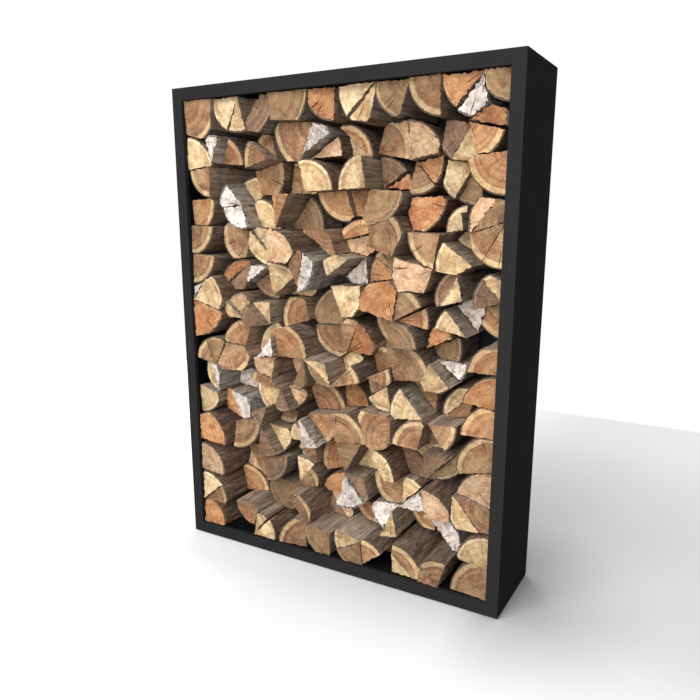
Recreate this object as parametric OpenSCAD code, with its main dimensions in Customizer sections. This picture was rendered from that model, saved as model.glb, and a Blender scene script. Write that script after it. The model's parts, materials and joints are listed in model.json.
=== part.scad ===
// Free-standing log store: a folded sheet steel surround, open at the front,
// filled to the brim with split firewood. The opening faces -Y and the store
// stands on Z = 0, with the origin under the middle of its box.

/* [Store] */
// Overall width
store_w = 1200; // [960:10:1500]
// Overall height, floor pads included
store_h = 1600; // [1240:10:2000]
// Overall depth
store_d = 305; // [280:5:360]
// Width of the folded edge round the opening
edge_w = 40; // [36:1:60]

/* [Casing] */
// Sheet thickness of the four outer casings
casing_t = 2; // [1.5:0.5:2.5]
// Depth of the lip that turns back into the opening
lip_d = 15; // [12:1:25]
// Width of the return flange that carries the back panel
flange_w = 28; // [26:1:30]
// How far the back panel sits inside the rear rim
recess_d = 7; // [7:0.5:12]
// Thickness of the corner gusset plates
gusset_t = 3; // [2:0.5:3]
// Length of each leg of a corner gusset
gusset_leg = 80; // [60:5:90]
// Bevel in the inner corner of a rear gusset
gusset_bevel = 12; // [4:1:20]

/* [Liner] */
// Sheet thickness of the side and top liners
liner_t = 2; // [1:0.5:2.5]
// Plate thickness of the floor liner, which carries the logs
floor_t = 3; // [2:0.5:4]
// Width of the rear flange turned outwards on each liner
liner_flange_w = 9; // [6:0.5:9]
// Open joint between the lip and the liner behind it
joint_gap = 0.3; // [0.2:0.1:0.5]

/* [Stiffeners] */
// Sheet thickness of the wall and top channels
channel_t = 1.5; // [1:0.5:2]
// Flange width of the wall and top channels
channel_flange = 22; // [15:1:30]
// Spacing of the wall channels, at most
wall_channel_pitch = 420; // [300:10:600]
// Spacing of the top channels, at most
top_channel_pitch = 400; // [300:10:500]
// Sheet thickness of the floor bearers
bearer_t = 3; // [2:0.5:3]
// Flange width of the floor bearers
bearer_flange = 30; // [20:1:40]
// Spacing of the floor bearers, at most
bearer_pitch = 260; // [200:10:400]
// Clearance at both ends of a channel or bearer
channel_clearance = 2; // [1:0.5:3]

/* [Back panel] */
// Sheet thickness of the back panel
back_t = 2; // [1.5:0.5:2]
// Open joint between the back panel and the rear rim
back_gap = 1; // [0.5:0.1:2]
// Diameter of the wall fixing holes
wall_hole_d = 8; // [6:0.5:10]
// Distance between the wall fixing holes, across
wall_hole_x = 800; // [400:10:820]
// Distance between the wall fixing holes, up
wall_hole_z = 1180; // [600:10:1220]

/* [Back panel screws] */
// Screw thread diameter
screw_d = 5; // [4:0.5:5]
// Screw length under the head
screw_len = 12; // [11:1:16]
// Screw head diameter
screw_head_d = 9.5; // [8:0.5:10]
// Screw head height
screw_head_h = 2.75; // [2:0.25:3]
// Width across the flats of the screw's socket
socket_w = 3; // [2:0.5:3]
// Distance from each corner to the first screw
screw_margin = 110; // [100:5:130]
// Spacing of the screws, at most
screw_pitch = 340; // [200:10:500]
// Outside diameter of a rivet nut's body
nut_body_d = 7; // [7:0.5:8]
// Length of a rivet nut under its flange
nut_len = 11.5; // [11:0.5:13]
// Diameter of a rivet nut's flange
nut_flange_d = 10; // [9.5:0.5:11]
// Thickness of a rivet nut's flange
nut_flange_t = 0.8; // [0.6:0.1:1]

/* [Floor pads] */
// Thickness of the floor pads
pad_t = 4; // [3:0.5:6]
// Diameter of the floor pads
pad_d = 50; // [30:1:60]
// Distance from the outline to the middle of the outer pads
pad_inset = 45; // [35:1:60]
// Spacing of the pads along the width, at most
pad_pitch = 560; // [400:10:700]

/* [Logs] */
// Logs side by side in a course, before some are split again
logs_across = 10; // [8:1:12]
// Courses of logs from the floor to the top
courses = 15; // [11:1:16]
// How far a log's middle wanders from an even course, as a share of a log
log_wander = 0.2; // [0:0.01:0.22]
// How far the courses rise and fall and the joints sway, as a share of a log
course_wave = 0.29; // [0:0.01:0.32]
// How much one log may grow at its neighbours' cost, as a share of a log
log_spread = 0.14; // [0:0.01:0.16]
// How far a course is pushed along, as a share of a log
course_shift = 0.18; // [0:0.01:0.25]
// Chance that a log with a square heart is split again
split_chance = 0.4; // [0:0.01:1]
// Chance that a log with a wide heart is split again
wide_split_chance = 0.9; // [0:0.01:1]
// Angle at the heart above which it counts as wide, in degrees
wide_heart = 104; // [95:1:115]
// Share of the second splits that run across the log and not from heart to bark
cross_share = 0.25; // [0:0.01:0.5]
// Widest angle that a second split stands open, in degrees
split_angle = 4; // [0:0.5:5]
// How fully a log's round bark fills its place in the stack, on average
bark_fullness = 0.7; // [0.5:0.05:1]
// Clearance between logs and to the liners
log_gap = 0.3; // [0.2:0.05:0.5]
// Shortest edge that a log's outline keeps, as a share of a log
log_min_edge = 0.045; // [0.03:0.005:0.06]
// How far the foremost log ends stay behind the front
front_inset = 6; // [3:1:30]
// How much the front ends of the long logs differ in depth
long_stagger = 60; // [0:5:60]
// How much the front ends of the long logs along the liners differ in depth
outer_stagger = 10; // [0:5:60]
// How far back the ends of the short logs start
short_setback = 70; // [40:5:90]
// How much the front ends of the short logs differ in depth
short_stagger = 75; // [0:5:75]
// Share of the logs along the liners that lean on them with a split face
wall_heart_share = 0.75; // [0:0.05:1]
// Share of short logs inside the stack
short_share = 0.48; // [0:0.01:1]
// Share of short logs along the liners
outer_short_share = 0.04; // [0:0.01:1]
// Steepest slant of a sawn log end, in degrees
end_slant = 8; // [0:0.5:10]
// How far the logs' rear ends may stand off the back panel
rear_stagger = 20; // [1:1:30]
// How much a log's size counts against chance where the kinds of wood are dealt out
kind_by_size = 0.5; // [0:0.05:1]
// Number that the stack's shapes are drawn from
stack_seed = 31; // [1:1:99]

/* [Hidden] */
$fn = 64;
tiers = 7;
// Kinds of wood from the largest logs to the smallest, with the share of the stack
// that each makes up and its colour
kinds = ["oak", "alder", "beech", "pine", "birch"];
kind_shares = [0.34, 0.16, 0.16, 0.25, 0.09];
kind_colours = ["#a98662", "#a8683c", "#8d7466", "#c9ad7c", "#cfc6b6"];
steel_black = "#26272a";
liner_black = "#17181a";
zinc = "#9fa3a8";
rubber = "#1c1c1c";

tab_clearance = 1;           // between a front gusset and a liner's tab
rear_clearance = 1;          // between the longest logs and the back panel's plane
bore_clearance = 0.05;       // on the radius, round each shank and nut body
screw_hole_clearance = 0.3;  // on the radius, where a screw passes the back panel
nut_bulge = 1;               // how far a crimped rivet nut swells past its body
nut_bulge_len = 4.5;
socket_floor = 0.8;          // left of the head's height under the socket
pass = 1;                    // how far a cutting tool runs past the faces that it cuts

// Turns of the two waves that bend the stack, across and up
sway_turns = [0.3, 1.1];
rise_turns = [1.4, 0.6];
// How much chance counts against good proportions where a log's heart is chosen
heart_luck = 0.35;
// How far a second split may wander from the middle, radial and across
split_wander = 0.12;
cross_wander = 0.07;
// Where a split across the log lies, from the heart towards the bark
cross_place = 0.51;

front_y = -store_d / 2;
base_z = pad_t;
casing_h = store_h - pad_t;
mid_z = base_z + casing_h / 2;
flange_v = store_d - recess_d;          // rear face of the return flange, from the front
panel_v = flange_v + nut_flange_t;      // front face of the back panel, from the front
gusset_v = flange_v - casing_t - gusset_t;
liner_tab_v = casing_t + gusset_t + tab_clearance;  // where a liner's front tab begins
channel_v = lip_d + joint_gap + max(liner_t, floor_t) + channel_clearance;
// the channels end clear of the gussets, the rivet nuts and the screws
channel_end_v = min(gusset_v, flange_v - nut_len, panel_v + back_t - screw_len)
    - channel_clearance;
screw_u = (2 * casing_t + flange_w) / 2;
panel_inset = 2 * casing_t + back_gap;

opening_w = store_w - 2 * edge_w;
opening_h = casing_h - 2 * edge_w;
opening_z = base_z + edge_w;

// The surround. Each of its four sides is drawn lying along X with its outer
// face down. u is measured inwards from the outer face and v back from the front.

module at_side(side) {
    if (side == "bottom") translate([0, front_y, base_z]) children();
    if (side == "top") translate([0, front_y, store_h]) mirror([0, 0, 1]) children();
    if (side == "left") translate([-store_w / 2, front_y, mid_z]) rotate([0, 90, 0]) children();
    if (side == "right") translate([store_w / 2, front_y, mid_z]) rotate([0, -90, 0]) children();
}

function side_length(side) = side == "bottom" || side == "top" ? store_w : casing_h;

// A folded profile along X, with both ends cut on the mitre
module mitred(profile, length) {
    intersection() {
        rotate([0, -90, 0])
            linear_extrude(length, center = true) polygon(profile);
        rotate([90, 0, 0])
            translate([0, 0, -store_d])
                linear_extrude(store_d)
                    polygon([[-length / 2, 0], [length / 2, 0],
                             [length / 2 - edge_w, edge_w], [edge_w - length / 2, edge_w]]);
    }
}

// Outer skin, front face and lip, and the hemmed rear rim with its return flange
function casing_profile() = [
    [0, 0], [edge_w, 0], [edge_w, lip_d], [edge_w - casing_t, lip_d],
    [edge_w - casing_t, casing_t], [casing_t, casing_t], [casing_t, flange_v - casing_t],
    [flange_w, flange_v - casing_t], [flange_w, flange_v], [2 * casing_t, flange_v],
    [2 * casing_t, store_d], [0, store_d]];

// Flat sheet level with the lip, a tab stepped in behind the lip, and a rear flange
function liner_profile(t) =
    let (lip_u = edge_w - casing_t, step_v = lip_d + joint_gap, end_v = flange_v)
    [[lip_u - t, liner_tab_v], [lip_u, liner_tab_v], [lip_u, step_v], [edge_w, step_v],
     [edge_w, end_v], [edge_w - liner_flange_w, end_v], [edge_w - liner_flange_w, end_v - t],
     [edge_w - t, end_v - t], [edge_w - t, step_v + t], [lip_u - t, step_v + t]];

// Middles of the fewest even steps along a length that are no longer than a pitch
function even_places(length, pitch) =
    let (n = max(1, ceil(length / pitch)))
    [for (i = [0:n]) length * (i / n - 0.5)];

function screw_places(side) = even_places(side_length(side) - 2 * screw_margin, screw_pitch);

module casing(side) {
    color(steel_black)
        difference() {
            at_side(side) mitred(casing_profile(), side_length(side));
            at_side(side)
                for (x = screw_places(side))
                    translate([x, flange_v + pass, screw_u])
                        rotate([90, 0, 0])
                            cylinder(d = nut_body_d + 2 * bore_clearance, h = casing_t + 2 * pass);
        }
}

module liner(side, t) {
    color(liner_black) at_side(side) mitred(liner_profile(t), side_length(side));
}

module casing_left() { casing("left"); }
module casing_right() { casing("right"); }
module casing_top() { casing("top"); }
module casing_bottom() { casing("bottom"); }
module liner_left() { liner("left", liner_t); }
module liner_right() { liner("right", liner_t); }
module liner_top() { liner("top", liner_t); }
module liner_floor() { liner("bottom", floor_t); }

// One angle plate lying across each mitre, with legs reach_u wide
module corner_plates(v, reach_u, bevel = 0) {
    corner = bevel == 0 ? [[reach_u, reach_u]] : [[reach_u + bevel, reach_u], [reach_u, reach_u + bevel]];
    for (sx = [-1, 1], sz = [-1, 1])
        translate([sx * (store_w / 2 - casing_t), front_y + v + gusset_t,
                   mid_z + sz * (casing_h / 2 - casing_t)])
            scale([-sx, 1, -sz])
                rotate([90, 0, 0])
                    linear_extrude(gusset_t)
                        polygon(concat([[0, 0], [gusset_leg, 0], [gusset_leg, reach_u]], corner,
                                       [[reach_u, gusset_leg], [0, gusset_leg]]));
}

module front_gussets() { color(steel_black) corner_plates(casing_t, edge_w - 2 * casing_t); }
module rear_gussets() { color(steel_black) corner_plates(gusset_v, flange_w - casing_t, gusset_bevel); }

// A channel from front to back between the outer skin and the liner, open towards +X
module cross_channel(t, flange, height) {
    translate([0, channel_v, casing_t])
        difference() {
            cube([flange, channel_end_v - channel_v, height]);
            translate([t, -pass, t])
                cube([flange, channel_end_v - channel_v + 2 * pass, height - 2 * t]);
        }
}

module channels_along(side, pitch, t, flange, height) {
    places = even_places(side_length(side) - 2 * (gusset_leg + edge_w), pitch);
    at_side(side)
        for (x = places)
            translate([x - flange / 2, 0, 0]) cross_channel(t, flange, height);
}

module side_channels() {
    color(steel_black)
        for (side = ["left", "right"])
            channels_along(side, wall_channel_pitch, channel_t, channel_flange,
                           edge_w - casing_t - liner_t);
}

module top_channels() {
    color(steel_black)
        channels_along("top", top_channel_pitch, channel_t, channel_flange,
                       edge_w - casing_t - liner_t);
}

module floor_bearers() {
    color(steel_black)
        channels_along("bottom", bearer_pitch, bearer_t, bearer_flange,
                       edge_w - casing_t - floor_t);
}

// The back panel and its fixings

module at_screws() {
    for (side = ["left", "right", "top", "bottom"])
        at_side(side)
            for (x = screw_places(side))
                translate([x, 0, screw_u]) rotate([-90, 0, 0]) children();
}

module back_panel() {
    color(steel_black)
        difference() {
            translate([panel_inset - store_w / 2, front_y + panel_v, base_z + panel_inset])
                cube([store_w - 2 * panel_inset, back_t, casing_h - 2 * panel_inset]);
            at_screws()
                translate([0, 0, panel_v - pass])
                    cylinder(d = screw_d + 2 * screw_hole_clearance, h = back_t + 2 * pass);
            for (sx = [-1, 1], sz = [-1, 1])
                translate([sx * wall_hole_x / 2, front_y + panel_v - pass, mid_z + sz * wall_hole_z / 2])
                    rotate([-90, 0, 0]) cylinder(d = wall_hole_d, h = back_t + 2 * pass);
        }
}

// Set in the return flange and crimped behind it, with its own flange at the rear
module rivet_nut() {
    difference() {
        union() {
            translate([0, 0, flange_v]) cylinder(d = nut_flange_d, h = nut_flange_t);
            translate([0, 0, flange_v - nut_len]) cylinder(d = nut_body_d, h = nut_len);
            translate([0, 0, flange_v - casing_t - nut_bulge_len])
                cylinder(d = nut_body_d + 2 * nut_bulge, h = nut_bulge_len);
        }
        translate([0, 0, flange_v - nut_len - pass])
            cylinder(d = screw_d + 2 * bore_clearance, h = nut_len + nut_flange_t + 2 * pass);
    }
}

module rivet_nuts() { color(zinc) at_screws() rivet_nut(); }

// Domed head, the cap of a ball as wide as the head where it meets the panel
module button_screw() {
    head_r = screw_head_d / 2;
    dome_r = (head_r * head_r + screw_head_h * screw_head_h) / (2 * screw_head_h);
    seat = panel_v + back_t;
    difference() {
        union() {
            translate([0, 0, seat - screw_len]) cylinder(d = screw_d, h = screw_len + socket_floor / 2);
            intersection() {
                translate([0, 0, seat]) cylinder(d = screw_head_d, h = screw_head_h);
                translate([0, 0, seat + screw_head_h - dome_r]) sphere(dome_r);
            }
        }
        translate([0, 0, seat + socket_floor])
            cylinder(d = socket_w / cos(30), h = screw_head_h, $fn = 6);
    }
}

module back_panel_screws() { color(zinc) at_screws() button_screw(); }

module floor_pads() {
    color(rubber)
        for (x = even_places(store_w - 2 * pad_inset, pad_pitch), sy = [-1, 1])
            translate([x, sy * (store_d / 2 - pad_inset), 0]) cylinder(d = pad_d, h = pad_t);
}

// The log stack. Every log starts as one cell of a diagram that shares out the
// whole opening, so that neighbours lie face to face all through the stack. The
// cell's heart is one of its corners, and a bark cylinder about that heart
// rounds the far side. Many logs are then split once more. The diagram is drawn
// in logs and courses, and then spread over the opening.

stack_lo = [log_gap / 2 - opening_w / 2, opening_z + log_gap / 2];
log_pitch = [(opening_w - log_gap) / logs_across, (opening_h - log_gap) / courses];

function log_node(kind, tier) = str(kind, "_logs_tier_", tier);
function tier_of(row) = floor(row * tiers / courses) + 1;

// Thirteen even chances that belong to one cell
function chances(col, row) = rands(0, 1, 13, stack_seed * 10000 + row * 100 + col);

course_shifts = rands(-course_shift, course_shift, courses, stack_seed);

// Middle of a cell and the weight that makes it larger or smaller than its neighbours.
// The waves die out towards the liners.
function cell_site(col, row) =
    let (c = chances(col, row), x = col + 0.5 + course_shifts[row], y = row + 0.5,
         across = x / logs_across, up = y / courses,
         sway = course_wave * sin(180 * across) * sin(360 * sway_turns * [across, up]),
         rise = course_wave * sin(180 * up) * sin(360 * rise_turns * [across, up]))
    [x + sway + (2 * c[0] - 1) * log_wander, y + rise + (2 * c[1] - 1) * log_wander,
     (2 * c[2] - 1) * log_spread];

sites = [for (row = [0:courses - 1]) [for (col = [0:logs_across - 1]) cell_site(col, row)]];

// The part of a convex outline where normal * point <= reach
function clip(outline, normal, reach) = [
    for (i = [0:len(outline) - 1])
        let (a = outline[i], b = outline[(i + 1) % len(outline)],
             da = normal * a - reach, db = normal * b - reach)
        each concat(da <= 0 ? [a] : [], da * db < 0 ? [a + (b - a) * da / (da - db)] : [])];

function clip_all(outline, planes, i = 0) =
    i == len(planes) ? outline : clip_all(clip(outline, planes[i][0], planes[i][1]), planes, i + 1);

// The plane that a cell shares with a neighbour
function shared_plane(s, o) =
    let (p = [s[0], s[1]], q = [o[0], o[1]], far = norm(q - p), n = (q - p) / far)
    [n, n * (p + q) / 2 + (s[2] - o[2]) / (2 * far)];

// Drops corners that lie too close to the next one
function without_short_edges(outline, shortest) = [
    for (i = [0:len(outline) - 1])
        if (norm(outline[(i + 1) % len(outline)] - outline[i]) > shortest) outline[i]];

function cell(col, row) = without_short_edges(
    clip_all(
        [[0, 0], [logs_across, 0], [logs_across, courses], [0, courses]],
        [for (r = [max(0, row - 2):min(courses - 1, row + 2)],
              c = [max(0, col - 2):min(logs_across - 1, col + 2)])
            if (r != row || c != col) shared_plane(sites[row][col], sites[r][c])]),
    log_min_edge);

function best_of(scores, i = 0, best = 0) =
    i == len(scores) ? best : best_of(scores, i + 1, scores[i] > scores[best] ? i : best);

function distance_to_edge(p, a, b) =
    let (along = (b - a) * (p - a) / ((b - a) * (b - a)))
    norm(a + (b - a) * min(1, max(0, along)) - p);

function side_before(outline, i) = outline[(i + len(outline) - 1) % len(outline)] - outline[i];
function side_after(outline, i) = outline[(i + 1) % len(outline)] - outline[i];

// Distances from a corner to the faces that it isn't on
function far_faces(outline, i) =
    let (n = len(outline))
    [for (k = [0:n - 1]) if (k != i && (k + 1) % n != i)
        distance_to_edge(outline[i], outline[k], outline[(k + 1) % n])];

// Corner whose two faces are about as long as the log is deep, as in a quartered
// round. Along the liners it lies at the wall, where a split face leans on the
// liner, or away from it, where the bark does.
function heart_corner(outline, col, row) =
    let (c = chances(col, row),
         inward = (c[12] < wall_heart_share ? -1 : 1)
            * [col == 0 ? 1 : col == logs_across - 1 ? -1 : 0,
               row == 0 ? 1 : row == courses - 1 ? -1 : 0])
    best_of([for (i = [0:len(outline) - 1])
        min(norm(side_before(outline, i)), norm(side_after(outline, i)))
            / max(far_faces(outline, i))
            + heart_luck * c[3 + i % 4] + inward * outline[i]]);

// Between the nearest and the furthest of a cell's far faces, so that the bark side
// is round and still leans on a neighbour
function bark_radius(outline, heart, fullness) =
    let (faces = far_faces(outline, heart))
    min(faces) * (1 - fullness) + max(faces) * fullness;

function unit(v) = v / norm(v);
function turned(v, angle) = [v[0] * cos(angle) - v[1] * sin(angle), v[0] * sin(angle) + v[1] * cos(angle)];

// A cell in its place in the opening, with every face moved in by half the clearance
function in_place(outline) =
    let (spread = [for (p = outline) stack_lo + [p[0] * log_pitch[0], p[1] * log_pitch[1]]],
         n = len(spread),
         inward = [for (i = [0:n - 1]) turned(unit(side_after(spread, i)), 90)])
    [for (i = [0:n - 1])
        let (a = inward[(i + n - 1) % n], b = inward[i])
        spread[i] + (a + b) * log_gap / (2 + 2 * a * b)];

// Both sides of a split through a point, square to a normal
function split(outline, point, normal, open_angle) =
    let (other = turned(-normal, open_angle))
    [clip(outline, normal, normal * point - log_gap / 2),
     clip(outline, other, other * point - log_gap / 2)];

// Outlines of the one or two logs in a cell
function logs_in_cell(outline, heart, bark_r, is_split, c) =
    let (p = outline[heart], next = unit(side_after(outline, heart)),
         last = unit(side_before(outline, heart)), middle = unit(next + last),
         wander = 2 * c[8] - 1, share = 0.5 + split_wander * wander,
         ray = unit(next * (1 - share) + last * share))
    !is_split ? [outline] :
    c[9] > cross_share ? split(outline, p, [-ray[1], ray[0]], split_angle * c[11]) :
    split(outline, p + middle * bark_r * (cross_place + cross_wander * wander), middle, 0);

// Whether a cell is split: nearly always where its heart's angle is wide
function is_split(flat, heart, chance) =
    let (wide = unit(side_after(flat, heart)) * unit(side_before(flat, heart)) < cos(wide_heart))
    chance < (wide ? wide_split_chance : split_chance);

function area_of(outline) =
    let (n = len(outline))
    abs([for (i = [0:n - 1]) cross(outline[i], outline[(i + 1) % n])] * [for (i = [1:n]) 0.5]);

// Each log: its outline, heart, bark radius, course, chances for its ends and kind,
// the chance that it is a short one, the stagger if it is a long one, and its size
// as a share of an even log
logs = [
    for (row = [0:courses - 1], col = [0:logs_across - 1])
        let (c = chances(col, row), flat = cell(col, row),
             heart = heart_corner(flat, col, row), outline = in_place(flat),
             bark_r = bark_radius(outline, heart, 1 - (1 - bark_fullness) * 2 * c[10]),
             parts = logs_in_cell(outline, heart, bark_r, is_split(flat, heart, c[7]), c),
             outer = row == 0 || row == courses - 1 || col == 0 || col == logs_across - 1)
        for (i = [0:len(parts) - 1])
            [without_short_edges(parts[i], 2 * log_gap), outline[heart], bark_r, row,
             rands(0, 1, 6, stack_seed * 20000 + row * 100 + col + 5000 * i),
             outer ? outer_short_share : short_share, outer ? outer_stagger : long_stagger,
             area_of(flat) / len(parts)]];

// The kinds are dealt out in each tier by their shares, in order of size and chance
function deal_order(g) = g[4][5] - kind_by_size * g[7];

function kind_at(place, kind = 0, below = 0) =
    kind == len(kinds) - 1 || place < below + kind_shares[kind] ? kind :
    kind_at(place, kind + 1, below + kind_shares[kind]);

function kinds_in(group) =
    let (order = [for (g = group) deal_order(g)])
    [for (own = order) kind_at((len([for (other = order) if (other < own) 1]) + 0.5) / len(order))];

// A split log: two or more split faces, the bark, and a slanted sawn end at the front
module split_log(g) {
    outline = g[0];
    heart = g[1];
    c = g[4];
    slant = [(2 * c[0] - 1) * end_slant, (2 * c[1] - 1) * end_slant];
    // how far the slanted end reaches forward of its own middle
    ahead = max([for (p = outline) tan(slant[0]) / cos(slant[1]) * (p[1] - heart[1])
                                   - tan(slant[1]) * (p[0] - heart[0])]);
    setback = c[2] < g[5] ? short_setback + short_stagger * c[4] : g[6] * c[4];
    end_y = front_y + front_inset + ahead + setback;
    rear_y = front_y + flange_v - rear_clearance - rear_stagger * c[3];
    intersection() {
        translate([0, rear_y, 0]) rotate([90, 0, 0]) linear_extrude(store_d) polygon(outline);
        translate([heart[0], rear_y, heart[1]]) rotate([90, 0, 0]) cylinder(r = g[2], h = store_d);
        translate([heart[0], end_y, heart[1]])
            rotate([slant[0], 0, slant[1]])
                translate([-store_d, 0, -store_d]) cube([2 * store_d, 2 * store_d, 2 * store_d]);
    }
}

module logs_of(kind, tier) {
    group = [for (g = logs) if (tier_of(g[3]) == tier) g];
    dealt = kinds_in(group);
    color(kind_colours[kind])
        for (i = [0:len(group) - 1])
            if (dealt[i] == kind) split_log(group[i]);
}

casing_left();
casing_right();
casing_top();
casing_bottom();
liner_left();
liner_right();
liner_top();
liner_floor();
front_gussets();
rear_gussets();
side_channels();
top_channels();
floor_bearers();
back_panel();
rivet_nuts();
back_panel_screws();
floor_pads();
for (tier = [1:tiers], kind = [0:len(kinds) - 1])
    logs_of(kind, tier);
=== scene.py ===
import bpy
import bmesh
import json
import math
import numpy as np
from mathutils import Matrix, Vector


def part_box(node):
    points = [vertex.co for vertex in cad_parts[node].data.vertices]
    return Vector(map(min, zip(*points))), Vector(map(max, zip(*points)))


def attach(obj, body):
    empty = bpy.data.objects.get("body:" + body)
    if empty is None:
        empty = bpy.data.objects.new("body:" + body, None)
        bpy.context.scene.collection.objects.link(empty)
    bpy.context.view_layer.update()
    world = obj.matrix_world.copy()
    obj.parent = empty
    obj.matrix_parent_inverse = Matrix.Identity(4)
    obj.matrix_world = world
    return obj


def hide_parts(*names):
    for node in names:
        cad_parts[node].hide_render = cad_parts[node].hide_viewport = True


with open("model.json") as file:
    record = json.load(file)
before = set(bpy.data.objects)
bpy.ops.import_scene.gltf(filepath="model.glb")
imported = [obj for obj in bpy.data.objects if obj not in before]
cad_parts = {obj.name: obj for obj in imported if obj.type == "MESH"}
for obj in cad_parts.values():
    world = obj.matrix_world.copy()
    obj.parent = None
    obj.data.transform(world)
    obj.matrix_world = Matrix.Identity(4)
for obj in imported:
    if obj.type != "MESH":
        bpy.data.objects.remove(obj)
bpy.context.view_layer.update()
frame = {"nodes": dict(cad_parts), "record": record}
nodes = frame["nodes"]
scene = bpy.context.scene
scene.view_settings.view_transform = "Standard"
print("store: frame loaded,", len(nodes), "nodes")


# Camera

# lens and sensor in millimetres, angles in degrees, place in metres
cameraLook = {"lens": 35.0, "sensor": 36.0, "azimuth": 30.04, "down": 12.92, "shiftY": 0.0284,
              "place": (1.1320, -1.9561, 1.1928)}


def makeCamera(look):
    camera = bpy.data.cameras.new("photoCamera")
    camera.lens, camera.sensor_width, camera.shift_y = look["lens"], look["sensor"], look["shiftY"]
    turn, down = math.radians(look["azimuth"]), math.radians(look["down"])
    ahead = Vector((-math.sin(turn) * math.cos(down), math.cos(turn) * math.cos(down), -math.sin(down)))
    holder = bpy.data.objects.new("photoCamera", camera)
    holder.location = look["place"]
    holder.rotation_euler = ahead.to_track_quat("-Z", "Y").to_euler()
    scene.collection.objects.link(holder)
    scene.camera = holder


makeCamera(cameraLook)


# Node trees

class Wiring:
    # adds nodes to a tree; an input is a plain value or another node's output
    def __init__(self, tree):
        self.tree = tree

    def add(self, kind, inputs=None, **settings):
        node = self.tree.nodes.new(kind)
        for name, value in settings.items():
            setattr(node, name, value)
        for key, value in (inputs or {}).items():
            if isinstance(value, bpy.types.NodeSocket):
                self.tree.links.new(value, node.inputs[key])
            else:
                node.inputs[key].default_value = value
        return node

    def calc(self, operation, a, b=0.0, clamp=False):
        return self.add("ShaderNodeMath", {0: a, 1: b}, operation=operation, use_clamp=clamp).outputs[0]

    def plus(self, a, b):
        return self.calc("ADD", a, b)

    def minus(self, a, b):
        return self.calc("SUBTRACT", a, b)

    def times(self, a, b):
        return self.calc("MULTIPLY", a, b)

    def most(self, a, b):
        return self.calc("MAXIMUM", a, b)

    def vector(self, operation, a, b=(0, 0, 0), scale=None):
        inputs = {0: a, 1: b} if scale is None else {0: a, "Scale": scale}
        node = self.add("ShaderNodeVectorMath", inputs, operation=operation)
        return node.outputs["Value" if operation == "LENGTH" else "Vector"]

    def moved(self, at, shift):
        # also keeps two noises at one place from matching
        return self.vector("ADD", at, shift)

    def stretched(self, at, scales):
        return self.vector("MULTIPLY", at, scales)

    def joined(self, x=0.0, y=0.0, z=0.0):
        return self.add("ShaderNodeCombineXYZ", {0: x, 1: y, 2: z}).outputs[0]

    def place(self):
        return self.add("ShaderNodeTexCoord").outputs["Object"]

    def attribute(self, name, output="Fac"):
        return self.add("ShaderNodeAttribute", attribute_name=name).outputs[output]

    def noise(self, at, scale=1.0, detail=3.0, roughness=0.55, distortion=0.0, dimensions="3D"):
        where = "W" if dimensions == "1D" else "Vector"
        inputs = {where: at, "Scale": scale, "Detail": detail, "Roughness": roughness,
                  "Distortion": distortion}
        return self.add("ShaderNodeTexNoise", inputs, noise_dimensions=dimensions).outputs[0]

    def ramp(self, at, low, high, toLow=0.0, toHigh=1.0):
        # goes smoothly from toLow to toHigh while the value goes from low to high
        inputs = {0: at, 1: low, 2: high, 3: toLow, 4: toHigh}
        return self.add("ShaderNodeMapRange", inputs, interpolation_type="SMOOTHSTEP").outputs[0]

    def patches(self, at, mark, depth=1.0):
        # a mark is a noise and two levels; its patches are where the noise is past them
        noise, levels = mark
        return self.ramp(self.noise(at, *noise), *levels, 0.0, depth)

    def lines(self, at, mark, depth=1.0):
        # the lines of a mark are where its noise is near the middle
        noise, levels = mark
        fromMiddle = self.calc("ABSOLUTE", self.minus(self.noise(at, *noise), 0.5))
        return self.ramp(fromMiddle, *levels, depth, 0.0)

    def sheen(self, noise, smoothest, roughest):
        return self.ramp(noise, 0.3, 0.7, smoothest, roughest)

    def colours(self, at, stops):
        node = self.add("ShaderNodeValToRGB", {0: at})
        band = node.color_ramp
        while len(band.elements) < len(stops):
            band.elements.new(0.5)
        for element, (place, colour) in zip(band.elements, stops):
            element.position, element.color = place, (*colour, 1.0)
        return node.outputs[0]

    def mix(self, share, a, b, blend="MIX"):
        a, b = [(*value, 1.0) if isinstance(value, tuple) else value for value in (a, b)]
        node = self.add("ShaderNodeMix", {0: share, 6: a, 7: b}, data_type="RGBA", blend_type=blend)
        return node.outputs[2]


def newMaterial(name, metallic=0.0, specular=0.0):
    material = bpy.data.materials.new(name)
    material.use_nodes = True
    material.node_tree.nodes.clear()
    wiring = Wiring(material.node_tree)
    shader = wiring.add("ShaderNodeBsdfPrincipled", {"Metallic": metallic, "Specular IOR Level": specular})
    wiring.add("ShaderNodeOutputMaterial", {0: shader.outputs[0]})
    return material, wiring, shader


def finishWith(wiring, shader, colour, roughness, height, relief, strength=1.0):
    bump = wiring.add("ShaderNodeBump", {"Strength": strength, "Distance": relief, "Height": height})
    for name, output in (("Base Color", colour), ("Roughness", roughness), ("Normal", bump.outputs[0])):
        wiring.tree.links.new(output, shader.inputs[name])


# Metal and rubber

# colours are linear and relief is in metres; roughness runs between its two values
coatTints = {
    "powderCoat": {"dark": (0.0255, 0.0255, 0.026), "light": (0.031, 0.031, 0.0315), "speckle": 0.22,
                   "dust": (0.050, 0.049, 0.047), "rubbed": (0.075, 0.075, 0.076),
                   "relief": 0.00012, "roughness": (0.50, 0.62)},
    "linerCoat": {"dark": (0.0060, 0.0060, 0.0063), "light": (0.0090, 0.0090, 0.0095), "speckle": 0.2,
                  "dust": (0.026, 0.022, 0.018), "rubbed": (0.05, 0.049, 0.047),
                  "relief": 0.00008, "roughness": (0.6, 0.75)},
}
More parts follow.
